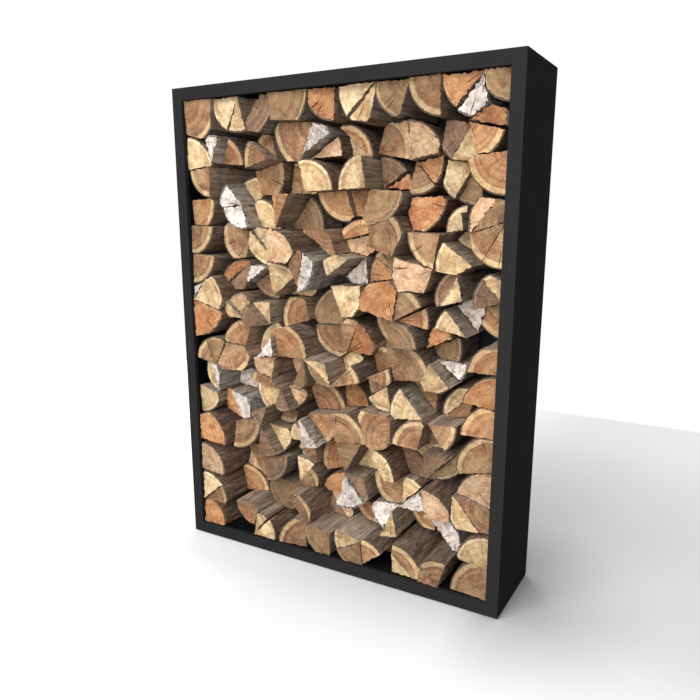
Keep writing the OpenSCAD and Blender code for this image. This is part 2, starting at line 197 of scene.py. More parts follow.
# a noise is its scale, detail, roughness and distortion; a mark is a noise and two levels
coatLook = {"specular": 0.001, "cloudNoise": (6.0, 4.0, 0.6), "grainNoise": (1500.0, 2.0, 0.6),
            "pitNoise": (555.0, 3.0, 0.7), "sheenNoise": (14.0, 5.0, 0.65), "pitLevels": (0.40, 0.62),
            "grainLevels": (0.52, 0.68), "dustMark": ((31.0, 6.0, 0.72), (0.58, 0.83)), "dustDepth": 0.12,
            "scratchStretch": (260, 260, 9), "scratchMark": ((1.0, 2.0, 0.5), (0.70, 0.74)),
            "scratchedMark": ((9.0, 2.0), (0.58, 0.66)), "scratchDepth": 0.5, "pitRelief": 0.8, "bump": 0.7}


def makeCoat(name, tints):
    # a fine orange-peel coat, dusty in patches and rubbed along a few short scratches
    material, wiring, shader = newMaterial(name, specular=coatLook["specular"])
    at = wiring.place()
    cloud, grain, pits, sheen = [wiring.noise(at, *coatLook[part + "Noise"])
                                 for part in ("cloud", "grain", "pit", "sheen")]
    colour = wiring.mix(cloud, tints["dark"], tints["light"])
    pitted = wiring.ramp(pits, *coatLook["pitLevels"], tints["speckle"], 0.0)
    colour = wiring.mix(pitted, colour, (0.0, 0.0, 0.0))
    grains = wiring.ramp(grain, *coatLook["grainLevels"], 0.0, tints["speckle"])
    colour = wiring.mix(grains, colour, tints["rubbed"])
    dust = wiring.patches(at, coatLook["dustMark"], coatLook["dustDepth"])
    colour = wiring.mix(dust, colour, tints["dust"])
    scratches = wiring.patches(wiring.stretched(at, coatLook["scratchStretch"]), coatLook["scratchMark"])
    scratches = wiring.times(scratches, wiring.patches(at, coatLook["scratchedMark"]))
    colour = wiring.mix(wiring.times(scratches, coatLook["scratchDepth"]), colour, tints["rubbed"])
    rough = wiring.sheen(sheen, *tints["roughness"])
    height = wiring.plus(grain, wiring.times(pits, coatLook["pitRelief"]))
    finishWith(wiring, shader, colour, rough, height, tints["relief"], coatLook["bump"])
    return material


zincLook = {"metallic": 1.0, "specular": 0.5, "dark": (0.46, 0.47, 0.47), "light": (0.66, 0.66, 0.64),
            "roughness": (0.24, 0.42), "blotchNoise": (260.0, 4.0, 0.6), "sheenNoise": (900.0, 3.0),
            "grainNoise": (2400.0, 2.0), "relief": 0.00003, "bump": 0.5}
rubberLook = {"metallic": 0.0, "specular": 0.3, "dark": (0.012, 0.012, 0.012), "light": (0.03, 0.029, 0.028),
              "roughness": (0.7, 0.85), "blotchNoise": (40.0, 5.0, 0.7), "sheenNoise": (120.0, 3.0),
              "grainNoise": (1800.0, 2.0), "relief": 0.00005, "bump": 1.0}


def makeBlotched(name, look):
    # zinc or rubber: blotches of colour and of sheen over a fine grain
    material, wiring, shader = newMaterial(name, look["metallic"], look["specular"])
    at = wiring.place()
    blotch, sheen, grain = [wiring.noise(at, *look[part + "Noise"]) for part in ("blotch", "sheen", "grain")]
    colour = wiring.mix(blotch, look["dark"], look["light"])
    rough = wiring.sheen(sheen, *look["roughness"])
    finishWith(wiring, shader, colour, rough, grain, look["relief"], look["bump"])
    return material


# by the record's names for the finishes
finishes = {"powder_coat": makeCoat("powderCoat", coatTints["powderCoat"]),
            "liner_coat": makeCoat("linerCoat", coatTints["linerCoat"]),
            "zinc_plate": makeBlotched("brightZinc", zincLook),
            "rubber": makeBlotched("padRubber", rubberLook)}


# Wood

# colours are linear and widths in metres; a log whose tone is past otherFrom has the colours in other
woodLooks = {
    "oak": {
        "tints": {"early": (0.41, 0.215, 0.109), "late": (0.205, 0.098, 0.050), "sap": (0.74, 0.53, 0.285),
                  "core": (0.22, 0.105, 0.052), "stain": (0.175, 0.090, 0.050)},
        "other": {"early": (0.53, 0.245, 0.108), "late": (0.30, 0.122, 0.053), "sap": (0.78, 0.53, 0.275),
                  "core": (0.31, 0.125, 0.053), "stain": (0.23, 0.103, 0.052)},
        "otherFrom": 0.72, "ringPitch": 0.0042, "sapWidth": 0.0185, "bandDepth": 0.84, "stained": 0.50,
        "bleached": 0.26, "torn": 0.34, "tornRelief": 1.1, "specks": 0.28, "cloud": (0.86, 1.12),
        "side": {"low": (0.142, 0.103, 0.080), "mid": (0.338, 0.239, 0.169), "high": (0.576, 0.432, 0.315),
                 "grey": (0.324, 0.266, 0.216)},
        "bark": {"low": (0.085, 0.062, 0.050), "high": (0.33, 0.232, 0.165), "patch": (0.36, 0.300, 0.240)}},
    "alder": {
        "tints": {"early": (0.74, 0.50, 0.30), "late": (0.50, 0.265, 0.130), "sap": (0.85, 0.655, 0.445),
                  "core": (0.58, 0.310, 0.15), "stain": (0.40, 0.190, 0.092)},
        "other": {"early": (0.54, 0.228, 0.093), "late": (0.34, 0.128, 0.050), "sap": (0.72, 0.44, 0.215),
                  "core": (0.38, 0.145, 0.056), "stain": (0.27, 0.115, 0.055)},
        "otherFrom": 0.38, "ringPitch": 0.0055, "sapWidth": 0.006, "bandDepth": 0.40, "stained": 0.50,
        "bleached": 0.40, "torn": 0.65, "tornRelief": 1.8, "specks": 0.85, "cloud": (0.78, 1.16),
        "speckTint": (0.32, 0.115, 0.055),
        "side": {"low": (0.147, 0.101, 0.076), "mid": (0.356, 0.236, 0.160), "high": (0.594, 0.432, 0.297),
                 "grey": (0.306, 0.243, 0.194)},
        "bark": {"low": (0.090, 0.063, 0.049), "high": (0.34, 0.215, 0.140), "patch": (0.34, 0.260, 0.195)}},
    "beech": {
        "tints": {"early": (0.33, 0.196, 0.118), "late": (0.19, 0.103, 0.061), "sap": (0.47, 0.32, 0.195),
                  "core": (0.175, 0.090, 0.054), "stain": (0.130, 0.076, 0.050)},
        "other": {"early": (0.36, 0.215, 0.108), "late": (0.21, 0.118, 0.056), "sap": (0.51, 0.355, 0.20),
                  "core": (0.19, 0.105, 0.050), "stain": (0.14, 0.081, 0.045)},
        "otherFrom": 0.5, "ringPitch": 0.0038, "sapWidth": 0.010, "bandDepth": 0.78, "stained": 0.50,
        "bleached": 0.22, "torn": 0.32, "tornRelief": 1.1, "specks": 0.3, "cloud": (0.86, 1.12),
        "side": {"low": (0.123, 0.093, 0.076), "mid": (0.285, 0.209, 0.153), "high": (0.495, 0.387, 0.288),
                 "grey": (0.279, 0.234, 0.198)},
        "bark": {"low": (0.095, 0.080, 0.070), "high": (0.29, 0.240, 0.195), "patch": (0.36, 0.330, 0.285)}},
    "pine": {
        "tints": {"early": (0.80, 0.565, 0.300), "late": (0.49, 0.295, 0.136), "sap": (0.94, 0.755, 0.475),
                  "core": (0.45, 0.265, 0.118), "stain": (0.31, 0.182, 0.088)},
        "ringPitch": 0.0036, "sapWidth": 0.012, "bandDepth": 0.54, "stained": 0.68,
        "bleached": 0.45, "torn": 0.40, "tornRelief": 1.8, "specks": 0.42, "cloud": (0.78, 1.16),
        "side": {"low": (0.147, 0.116, 0.091), "mid": (0.365, 0.289, 0.214), "high": (0.630, 0.522, 0.387),
                 "grey": (0.378, 0.347, 0.297)},
        "bark": {"low": (0.095, 0.066, 0.050), "high": (0.36, 0.225, 0.145), "patch": (0.38, 0.290, 0.215)}},
    "birch": {
        "tints": {"early": (0.87, 0.765, 0.68), "late": (0.72, 0.59, 0.51), "sap": (0.91, 0.835, 0.76),
                  "core": (0.64, 0.51, 0.44), "stain": (0.36, 0.27, 0.235)},
        "ringPitch": 0.0045, "sapWidth": 0.02, "bandDepth": 0.2, "stained": 0.22,
        "bleached": 0.55, "torn": 0.45, "tornRelief": 1.8, "specks": 0.5, "cloud": (0.78, 1.16),
        "rosyTint": (0.50, 0.37, 0.32), "veinTint": (0.10, 0.070, 0.062),
        "side": {"low": (0.162, 0.131, 0.109), "mid": (0.401, 0.338, 0.285), "high": (0.648, 0.594, 0.522),
                 "grey": (0.414, 0.387, 0.360)},
        "bark": {"low": (0.14, 0.115, 0.10), "high": (0.70, 0.65, 0.60), "patch": (0.09, 0.070, 0.062)}},
}

# lengths are in metres, from the heart or in from the bark; a depth is how strongly a colour is laid on
endLook = {
    "specular": 0.25, "roughness": (0.72, 0.92), "relief": 0.0008, "bump": 0.85, "otherFade": 0.03,
    "wobbleNoise": (24.0, 2.0, 0.5), "wobble": 0.012, "ringTurns": 37.0, "ringSharpness": 2.5,
    "ringDepth": 0.34, "bandNoise": (62.0, 4.0, 0.72), "bandShift": 3.1, "bandLevels": (0.43, 0.60),
    "heartReach": (0.006, 0.040), "heartDepth": 0.6,
    "sapNoise": (45.0, 3.0), "sapWander": 0.010, "sapFade": (0.004, 0.008), "sapDepth": 0.92, "sapRings": 0.5,
    "darkFade": (0.006, 0.020), "darkDepth": 0.7,
    "stainMark": ((21.0, 6.0, 0.66, 0.8), (0.44, 0.62)), "speckMark": ((165.0, 4.0, 0.62, 1.2), (0.60, 0.68)),
    "paleNoise": (17.0, 4.0, 0.6), "paleShift": 0.14, "paleLevels": (0.50, 0.68),
    "tornNoise": (150.0, 6.0, 0.75, 0.6), "tornDark": (0.50, 0.68), "tornPale": (0.50, 0.32),
    "rosyMark": ((38.0, 5.0, 0.7, 0.6), (0.50, 0.66)), "rosyDepth": 0.6,
    "veinMark": ((62.0, 6.0, 0.72, 1.1), (0.003, 0.022)), "veinDepth": 0.95,
    "veinedMark": ((30.0, 3.0), (0.49, 0.58)), "blotMark": ((75.0, 5.0, 0.7, 0.8), (0.61, 0.66)),
    "blotDepth": 0.9,
    "checkTurns": 5.5, "checkPitch": 38.0, "checkShift": 90.0, "checkMark": ((1.0, 3.0, 0.6), (0.006, 0.022)),
    "checkedMark": ((17.0, 2.0), (0.60, 0.70)), "starReach": (0.018, 0.048), "checkDepth": 0.5,
    "crackDepth": 0.85, "crackShadeTint": (0.075, 0.038, 0.022),
    "barkNoise": (130.0, 3.0), "barkWander": 0.003, "barkFade": (0.0048, 0.0064), "barkDepth": 0.92,
    "barkTint": (0.075, 0.050, 0.034),
    "brightTurns": 7.0, "logBrightness": (0.80, 1.10), "fineNoise": (420.0, 3.0, 0.7),
    "fineLevels": (0.32, 0.68), "fineBrightness": (0.84, 1.14), "cloudNoise": (48.0, 5.0, 0.72, 0.5),
    "cloudLevels": (0.36, 0.64),
    "sawNoise": (420.0, 3.0, 0.6), "sawRelief": 0.7, "ringRelief": 0.35, "crackRelief": 1.5,
    "veinRelief": 0.5}


class EndGrain(Wiring):
    # the sawn end of one kind of wood, laid down in layers
    def __init__(self, tree, look):
        super().__init__(tree)
        self.look = look
        self.at = self.attribute("fromHeart", "Vector")
        self.tone = self.attribute("tone")
        self.toBark = self.attribute("toBark")
        wobble = self.times(self.noise(self.at, *endLook["wobbleNoise"]), endLook["wobble"])
        self.radius = self.plus(self.vector("LENGTH", self.stretched(self.at, (1, 0, 1))), wobble)
        self.torn = self.noise(self.at, *endLook["tornNoise"])
        self.tints = look["tints"]
        if "other" in look:
            share = self.ramp(self.tone, look["otherFrom"] - endLook["otherFade"],
                              look["otherFrom"] + endLook["otherFade"])
            self.tints = {part: self.mix(share, tint, look["other"][part])
                          for part, tint in look["tints"].items()}

    def rings(self):
        # fine rings, and the broader bands of good and poor years
        years = self.plus(self.times(self.radius, 1.0 / self.look["ringPitch"]),
                          self.times(self.tone, endLook["ringTurns"]))
        self.ring = self.calc("POWER", self.calc("FRACT", years), endLook["ringSharpness"])
        place = self.plus(self.radius, self.times(self.tone, endLook["bandShift"]))
        bands = self.ramp(self.noise(place, *endLook["bandNoise"], dimensions="1D"), *endLook["bandLevels"])
        lateness = self.calc("ADD", self.times(bands, self.look["bandDepth"]),
                             self.times(self.ring, endLook["ringDepth"]), clamp=True)
        return self.mix(lateness, self.tints["early"], self.tints["late"])

    def heartAndSap(self, colour):
        heart = self.ramp(self.radius, *endLook["heartReach"], endLook["heartDepth"], 0.0)
        colour = self.mix(heart, colour, self.tints["core"])
        wander = self.times(self.noise(self.at, *endLook["sapNoise"]), endLook["sapWander"])
        edge = self.plus(self.toBark, wander)
        sapTint = self.mix(self.times(self.ring, endLook["sapRings"]), self.tints["sap"], self.tints["early"])
        for name, tint in (("dark", self.tints["late"]), ("sap", sapTint)):
            near, far = [self.look["sapWidth"] + width for width in endLook[name + "Fade"]]
            colour = self.mix(self.ramp(edge, near, far, endLook[name + "Depth"], 0.0), colour, tint)
        return colour

    def stains(self, colour):
        # stains, bleached patches, torn fibres and specks
        colour = self.mix(self.patches(self.at, endLook["stainMark"], self.look["stained"]), colour,
                          self.tints["stain"])
        pale = self.plus(self.noise(self.moved(self.at, (4.0, 0.0, 7.0)), *endLook["paleNoise"]),
                         self.times(self.tone, endLook["paleShift"]))
        pale = self.ramp(pale, *endLook["paleLevels"], 0.0, self.look["bleached"])
        colour = self.mix(pale, colour, self.tints["sap"])
        for levels, tint in (("tornDark", self.tints["late"]), ("tornPale", self.tints["sap"])):
            torn = self.ramp(self.torn, *endLook[levels], 0.0, self.look["torn"])
            colour = self.mix(torn, colour, tint)
        specks = self.patches(self.at, endLook["speckMark"], self.look["specks"])
        return self.mix(specks, colour, self.look.get("speckTint", self.tints["core"]))

    def birchMarks(self, colour):
        # dark veins and pinkish rot in the white wood
        rosy = self.patches(self.at, endLook["rosyMark"], endLook["rosyDepth"])
        colour = self.mix(rosy, colour, self.look["rosyTint"])
        veins = self.times(self.lines(self.at, endLook["veinMark"], endLook["veinDepth"]),
                           self.patches(self.at, endLook["veinedMark"]))
        blots = self.patches(self.moved(self.at, (2.0, 5.0, 1.0)), endLook["blotMark"], endLook["blotDepth"])
        marks = self.most(veins, blots)
        self.torn = self.minus(self.torn, self.times(marks, endLook["veinRelief"]))
        return self.mix(marks, colour, self.look["veinTint"])

    def cracks(self, colour):
        # fine checks that run out from the heart, and the cracks that the mesh opens, both darkened with
        # painted shade
        axes = self.add("ShaderNodeSeparateXYZ", {0: self.at}).outputs
        angle = self.calc("ARCTAN2", axes["Z"], axes["X"])
        rays = self.joined(self.times(angle, endLook["checkTurns"]),
                           self.times(self.radius, endLook["checkPitch"]),
                           self.times(self.tone, endLook["checkShift"]))
        star = self.ramp(self.radius, *endLook["starReach"], 1.0, 0.0)
        checks = self.calc("MULTIPLY", self.lines(rays, endLook["checkMark"]),
                           self.most(star, self.patches(self.at, endLook["checkedMark"])), clamp=True)
        self.crack = self.calc("MAXIMUM", self.times(checks, endLook["checkDepth"]),
                               self.times(self.attribute("crack"), endLook["crackDepth"]), clamp=True)
        return self.mix(self.crack, colour, endLook["crackShadeTint"])

    def barkEdge(self, colour):
        wander = self.times(self.noise(self.at, *endLook["barkNoise"]), endLook["barkWander"])
        edge = self.ramp(self.plus(self.toBark, wander), *endLook["barkFade"], endLook["barkDepth"], 0.0)
        return self.mix(edge, colour, endLook["barkTint"])

    def brightness(self, colour):
        # from log to log, in clouds and in fine grain
        cloud = self.noise(self.moved(self.at, (9.0, 3.0, 2.0)), *endLook["cloudNoise"])
        fine = self.noise(self.at, *endLook["fineNoise"])
        ofLog = self.calc("FRACT", self.times(self.tone, endLook["brightTurns"]))
        ofLog = self.ramp(ofLog, 0.0, 1.0, *endLook["logBrightness"])
        fine = self.ramp(fine, *endLook["fineLevels"], *endLook["fineBrightness"])
        cloud = self.ramp(cloud, *endLook["cloudLevels"], *self.look["cloud"])
        level = self.times(self.times(ofLog, fine), cloud)
        grey = self.add("ShaderNodeCombineColor", {0: level, 1: level, 2: level}).outputs[0]
        return self.mix(1.0, colour, grey, "MULTIPLY")

    def height(self):
        # saw marks, rings and torn fibres, cut by the cracks
        saw = self.noise(self.attribute("saw"), *endLook["sawNoise"], dimensions="1D")
        height = self.times(saw, endLook["sawRelief"])
        height = self.plus(height, self.times(self.ring, endLook["ringRelief"]))
        height = self.plus(height, self.times(self.torn, self.look["tornRelief"]))
        return self.minus(height, self.times(self.crack, endLook["crackRelief"]))


def makeEndGrain(kind, look):
    material, _, shader = newMaterial(kind + "EndGrain", specular=endLook["specular"])
    end = EndGrain(material.node_tree, look)
    colour = end.stains(end.heartAndSap(end.rings()))
    if kind == "birch":
        colour = end.birchMarks(colour)
    colour = end.brightness(end.barkEdge(end.cracks(colour)))
    rough = end.sheen(end.torn, *endLook["roughness"])
    finishWith(end, shader, colour, rough, end.height(), endLook["relief"], endLook["bump"])
    return material


# a stretch is how many ridges a metre has across, along and across the log
sideLook = {
    "specular": 0.2, "roughness": (0.74, 0.93), "relief": 0.0016, "stops": (0.37, 0.49, 0.62),
    "fibreStretch": (170, 6, 170), "fibreNoise": (1.0, 5.0, 0.68), "fibreShare": 0.6,
    "streakStretch": (38, 4, 38), "streakNoise": (1.0, 4.0, 0.6, 0.4), "streakShare": 0.4,
    "streakRelief": 0.8,
    "wornNoise": (11.0, 4.0, 0.6), "toneShift": 0.35, "greyLevels": (0.64, 0.90), "greyDepth": (0.05, 0.85),
    "seamStretch": (70, 3.4, 70), "seamMark": ((1.0, 3.0, 0.6, 0.5), (0.004, 0.020)), "seamDepth": 0.75,
    "seamedMark": ((19.0, 2.0), (0.44, 0.60)), "seamShadeTint": (0.040, 0.028, 0.021),
    "knotStretch": (30, 14, 30), "knotMark": ((1.0, 2.0), (0.68, 0.78)), "knotDepth": 0.7}


def makeSplitFace(kind, look):
    # torn fibres, weathered grey in places, with long drying cracks darkened with painted shade, and knots
    material, wiring, shader = newMaterial(kind + "SplitFace", specular=sideLook["specular"])
    at, tone = wiring.attribute("fromHeart", "Vector"), wiring.attribute("tone")
    fibre = wiring.noise(wiring.stretched(at, sideLook["fibreStretch"]), *sideLook["fibreNoise"])
    streak = wiring.noise(wiring.stretched(at, sideLook["streakStretch"]), *sideLook["streakNoise"])
    streaked = wiring.plus(wiring.times(fibre, sideLook["fibreShare"]),
                           wiring.times(streak, sideLook["streakShare"]))
    colour = wiring.colours(streaked, list(zip(sideLook["stops"], (look["low"], look["mid"], look["high"]))))
    worn = wiring.plus(wiring.noise(at, *sideLook["wornNoise"]), wiring.times(tone, sideLook["toneShift"]))
    grey = wiring.ramp(worn, *sideLook["greyLevels"], *sideLook["greyDepth"])
    colour = wiring.mix(grey, colour, wiring.mix(fibre, look["grey"], look["mid"]))
    seams = wiring.lines(wiring.stretched(at, sideLook["seamStretch"]), sideLook["seamMark"],
                         sideLook["seamDepth"])
    seams = wiring.times(seams, wiring.patches(at, sideLook["seamedMark"]))
    # the drying cracks are darkened with painted shade
    colour = wiring.mix(seams, colour, sideLook["seamShadeTint"])
    knots = wiring.patches(wiring.stretched(at, sideLook["knotStretch"]), sideLook["knotMark"],
                           sideLook["knotDepth"])
    colour = wiring.mix(knots, colour, look["low"])
    height = wiring.minus(wiring.plus(fibre, wiring.times(streak, sideLook["streakRelief"])), seams)
    rough = wiring.sheen(fibre, *sideLook["roughness"])
    finishWith(wiring, shader, colour, rough, height, sideLook["relief"])
    return material


barkLook = {
    "specular": 0.15, "roughness": (0.8, 0.95), "relief": 0.002, "stops": (0.38, 0.60),
    "furrowStretch": (125, 11, 125), "birchStretch": (16, 240, 16), "furrowNoise": (1.0, 5.0, 0.68, 0.5),
    "plateStretch": (90, 15, 90), "bendNoise": (60.0, 3.0, 0.6), "bend": 2.2,
    "patchStretch": (46, 17, 46), "patchMark": ((1.0, 5.0, 0.7), (0.52, 0.66)), "patchDepth": 0.7,
    "gapLevels": (0.01, 0.14), "gapDepth": 0.6, "gapRelief": 0.5}


def makeBark(kind, look):
    # plates between furrows; birch is banded round the trunk, the others are furrowed along it
    material, wiring, shader = newMaterial(kind + "Bark", specular=barkLook["specular"])
    at = wiring.attribute("fromHeart", "Vector")
    stretch = barkLook["birchStretch" if kind == "birch" else "furrowStretch"]
    furrow = wiring.noise(wiring.stretched(at, stretch), *barkLook["furrowNoise"])
    bend = wiring.times(wiring.noise(at, *barkLook["bendNoise"]), barkLook["bend"])
    bent = wiring.moved(wiring.stretched(at, barkLook["plateStretch"]), wiring.joined(bend, bend))
    plates = wiring.add("ShaderNodeTexVoronoi", {"Vector": bent, "Scale": 1.0},
                        feature="DISTANCE_TO_EDGE").outputs[0]
    colour = wiring.colours(furrow, list(zip(barkLook["stops"], (look["low"], look["high"]))))
    patch = wiring.patches(wiring.stretched(at, barkLook["patchStretch"]), barkLook["patchMark"],
                           barkLook["patchDepth"])
    colour = wiring.mix(patch, colour, look["patch"])
    gaps = wiring.ramp(plates, *barkLook["gapLevels"], barkLook["gapDepth"], 0.0)
    colour = wiring.mix(gaps, colour, look["low"])
    height = wiring.minus(furrow, wiring.times(gaps, barkLook["gapRelief"]))
    rough = wiring.sheen(furrow, *barkLook["roughness"])
    finishWith(wiring, shader, colour, rough, height, barkLook["relief"])
    return material


woods = {kind: (makeEndGrain(kind, look), makeSplitFace(kind, look["side"]), makeBark(kind, look["bark"]))
         for kind, look in woodLooks.items()}
print("store: materials made")


# Geometry nodes

def newTree(name, sockets):
    tree = bpy.data.node_groups.new(name, "GeometryNodeTree")
    for title, kind in {"Geometry": "Geometry", **sockets}.items():
        tree.interface.new_socket(title, in_out="INPUT", socket_type="NodeSocket" + kind)
    tree.interface.new_socket("Geometry", in_out="OUTPUT", socket_type="NodeSocketGeometry")
    wiring = Wiring(tree)
    return tree, wiring, wiring.add("NodeGroupInput").outputs


# inputs are in metres; each part of the wear is a noise and its share
wearLook = {
    "inputs": {"Fibre width": 0.011, "Fibre length": 0.075, "Bow length": 0.16, "Seed": 5},
    "parts": {"ridges": ((1.0, 3.0, 0.6, 0.3), 0.42), "bow": ((1.0, 1.0), 0.22),
              "notches": ((1.0, 3.0, 0.7, 0.4), 0.36)},
    "notchStretch": (95, 30, 95), "levels": (0.42, 0.68), "chipMark": ((110.0, 3.0, 0.65), (0.42, 0.75))}


def makeWeathering():
    # wears split faces and bark inwards along the fibres, and opens the cracks of the sawn end
    tree, wiring, given = newTree("weatheredLogs", {
        "Fibre width": "Float", "Fibre length": "Float", "Bow length": "Float", "Seed": "Int",
        "End grain": "Material", "Split face": "Material", "Bark": "Material"})

    def named(title, kind):
        node = wiring.add("GeometryNodeInputNamedAttribute", {"Name": title}, data_type=kind)
        return [out for out in node.outputs if out.enabled][0]

    at = wiring.moved(named("fromHeart", "FLOAT_VECTOR"), wiring.joined(given["Seed"]))
    across, along, bend = [wiring.calc("DIVIDE", 1.0, given[size])
                           for size in ("Fibre width", "Fibre length", "Bow length")]
    places = {"ridges": wiring.stretched(at, wiring.joined(across, along, across)),
              "bow": wiring.vector("SCALE", at, scale=bend),
              "notches": wiring.stretched(at, wearLook["notchStretch"])}
    ridges, bow, notches = [wiring.times(wiring.noise(places[part], *noise), share)
                            for part, (noise, share) in wearLook["parts"].items()]
    depth = wiring.ramp(wiring.plus(wiring.plus(ridges, bow), notches), *wearLook["levels"])
    worn = wiring.vector("SCALE", named("inward", "FLOAT_VECTOR"),
                         scale=wiring.times(depth, named("bite", "FLOAT")))
    chips = wiring.patches(at, wearLook["chipMark"])
    sunk = wiring.plus(named("sink", "FLOAT"), wiring.times(chips, named("rough", "FLOAT")))
    offset = wiring.moved(worn, wiring.joined(y=sunk))
    geometry = wiring.add("GeometryNodeSetPosition", {"Geometry": given["Geometry"],
                                                      "Offset": offset}).outputs[0]
    geometry = wiring.add("GeometryNodeRealizeInstances", {"Geometry": geometry}).outputs[0]
    for number, title in enumerate(("End grain", "Split face", "Bark")):
        same = wiring.add("FunctionNodeCompare", {2: named("surface", "INT"), 3: number},
                          data_type="INT", operation="EQUAL").outputs[0]
        geometry = wiring.add("GeometryNodeSetMaterial", {"Geometry": geometry, "Selection": same,
                                                          "Material": given[title]}).outputs[0]
    wiring.add("NodeGroupOutput", {0: geometry})
    return tree


def makeScatter():
    # sets one copy of a small part on every point
    tree, wiring, given = newTree("partOnEachPoint", {
        "Part": "Object", "Largest turn": "Float", "Seed": "Int", "Finish": "Material"})
    part = wiring.add("GeometryNodeObjectInfo", {"Object": given["Part"]}).outputs["Geometry"]
    turns = {"Min": (0, 0, 0), "Max": wiring.joined(z=given["Largest turn"]), "Seed": given["Seed"]}
    turn = wiring.add("FunctionNodeRandomValue", turns, data_type="FLOAT_VECTOR").outputs[0]
    normal = wiring.add("GeometryNodeInputNamedAttribute", {"Name": "facing"},
                        data_type="FLOAT_VECTOR").outputs[0]
    facing = wiring.add("FunctionNodeAlignRotationToVector", {"Vector": normal}, axis="Z").outputs[0]
    spin = wiring.add("FunctionNodeRotateRotation", {"Rotation": facing, "Rotate By": turn},
                      rotation_space="LOCAL").outputs[0]
    copies = wiring.add("GeometryNodeInstanceOnPoints", {"Points": given["Geometry"], "Instance": part,
                                                         "Rotation": spin}).outputs[0]
    solid = wiring.add("GeometryNodeRealizeInstances", {"Geometry": copies}).outputs[0]
    done = wiring.add("GeometryNodeSetMaterial", {"Geometry": solid, "Material": given["Finish"]}).outputs[0]
    wiring.add("NodeGroupOutput", {0: done})
    return tree


def grow(name, mesh, tree, values):
    # runs a tree on a mesh and keeps the result as a plain mesh
    holder = bpy.data.objects.new(name, mesh)
    scene.collection.objects.link(holder)
    modifier = holder.modifiers.new("grow", "NODES")
    modifier.node_group = tree
    identifiers = {item.name: item.identifier for item in tree.interface.items_tree if item.in_out == "INPUT"}
    for title, value in values.items():
        modifier[identifiers[title]] = value
    graph = bpy.context.evaluated_depsgraph_get()
    grown = bpy.data.meshes.new_from_object(holder.evaluated_get(graph), preserve_all_data_layers=True,
                                            depsgraph=graph)
    holder.modifiers.clear()
    holder.data = grown
    grown.name = name
    bpy.data.meshes.remove(mesh)
    return holder


def reshape(mesh, edit):
    body = bmesh.new()
    body.from_mesh(mesh)
    edit(body)
    body.to_mesh(mesh)
    body.free()


def smooth(mesh, sharpAngle):
    mesh.shade_smooth()
    mesh.set_sharp_from_angle(angle=math.radians(sharpAngle))


def install(piece, node):
    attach(piece, "root")
    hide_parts(node)
    return piece


# The logs

# metres, counts, shares and degrees; rings are how far behind the sawn end the sides have vertices
logLook = {"rays": 34, "leastGap": 0.4, "steps": 14, "barkThickness": 0.0042, "thinLogBark": 0.3,
           "underBark": 0.84, "pastBark": 1.12, "barkStep": 0.0013, "longFlat": 0.034, "splitBite": 0.0080,
           "barkBite": 0.0036, "rimReach": 0.020, "rearWear": 0.4, "rearMargin": 0.012, "grainSpread": 9.0,
           "sharpAngle": 36,
           "rings": (0.0015, 0.004, 0.008, 0.014, 0.022, 0.032, 0.044, 0.058, 0.075, 0.095, 0.12, 0.15, 0.19)}
# crack widths are in radians about the heart, ragged scales the bites, rough is in metres
crackLook = {
    "oak": {"chance": 0.35, "width": 0.010, "ragged": 0.65, "rough": 0.0012},
    "alder": {"chance": 0.38, "width": 0.024, "ragged": 1.4, "rough": 0.0028},
    "beech": {"chance": 0.3, "width": 0.012, "ragged": 0.85, "rough": 0.0014},
    "pine": {"chance": 0.15, "width": 0.012, "ragged": 0.85, "rough": 0.0020},
    "birch": {"chance": 0.3, "width": 0.020, "ragged": 1.6, "rough": 0.0040},
}
# radians, metres and shares of the way from the heart to the bark; most cracks begin at the heart; darkness
# scales the painted shade in a crack
crackShape = {"tries": 4, "margin": 0.12, "apart": 0.12, "narrowestLog": 0.5, "clear": 0.01,
              "clearWidths": 1.5, "fromHeart": 0.7, "shortest": 0.3, "longer": 0.4, "nearBark": (0.6, 0.98),
              "skew": 0.8, "shallowest": 0.002, "deeper": 0.005, "darkness": 1.4}
# how close counts as the same, in metres, and for rays as a share of an edge or of a metre
close = {"depth": 5e-5, "circle": 4e-5, "heart": 0.0012, "splitHeart": 0.0015, "vertex": 1e-5, "angle": 1e-5,
         "slope": 1e-9, "along": 1e-4, "behind": 1e-5, "area": 1e-10}
# a bark circle's largest radius and its heart's least distance outside; the longest arc edge in degrees
barkCircle = {"largest": 0.3, "outside": 0.01, "longestArc": 5.9}
sawnEnd, splitFace, barkFace = range(3)
logAttributes = {"fromHeart": 3, "inward": 3, "bite": 1, "sink": 1, "rough": 1, "crack": 1, "toBark": 1,
                 "tone": 1, "saw": 1}


def solidsOf(node):
    # the separate solids of a CAD node, each as an array of its corners
    mesh = node.data
    corners = np.empty(len(mesh.vertices) * 3, np.float32)
    mesh.vertices.foreach_get("co", corners)
    corners = corners.reshape(-1, 3).astype(float)
    mesh.calc_loop_triangles()
    triangles = np.empty(len(mesh.loop_triangles) * 3, np.int32)
    mesh.loop_triangles.foreach_get("vertices", triangles)
    places, same = np.unique(np.round(corners * 1e6).astype(np.int64), axis=0, return_inverse=True)
    triangles = same.reshape(-1)[triangles].reshape(-1, 3)
    label = np.arange(len(places))
    while True:
        low = label[triangles].min(axis=1)
        before = label.copy()
        for side in range(3):
            np.minimum.at(label, triangles[:, side], low)
        if (label == before).all():
            break
    return [places[label == one] / 1e6 for one in np.unique(label)]


def circleThrough(a, b, c):
    # centre of the circle through three points
    area = 2 * (a[0] * (b[1] - c[1]) + b[0] * (c[1] - a[1]) + c[0] * (a[1] - b[1]))
    if abs(area) < close["area"]:
        return None
    return np.array([((a @ a) * (b[1] - c[1]) + (b @ b) * (c[1] - a[1]) + (c @ c) * (a[1] - b[1])) / area,
                     ((a @ a) * (c[0] - b[0]) + (b @ b) * (a[0] - c[0]) + (c @ c) * (b[0] - a[0])) / area])


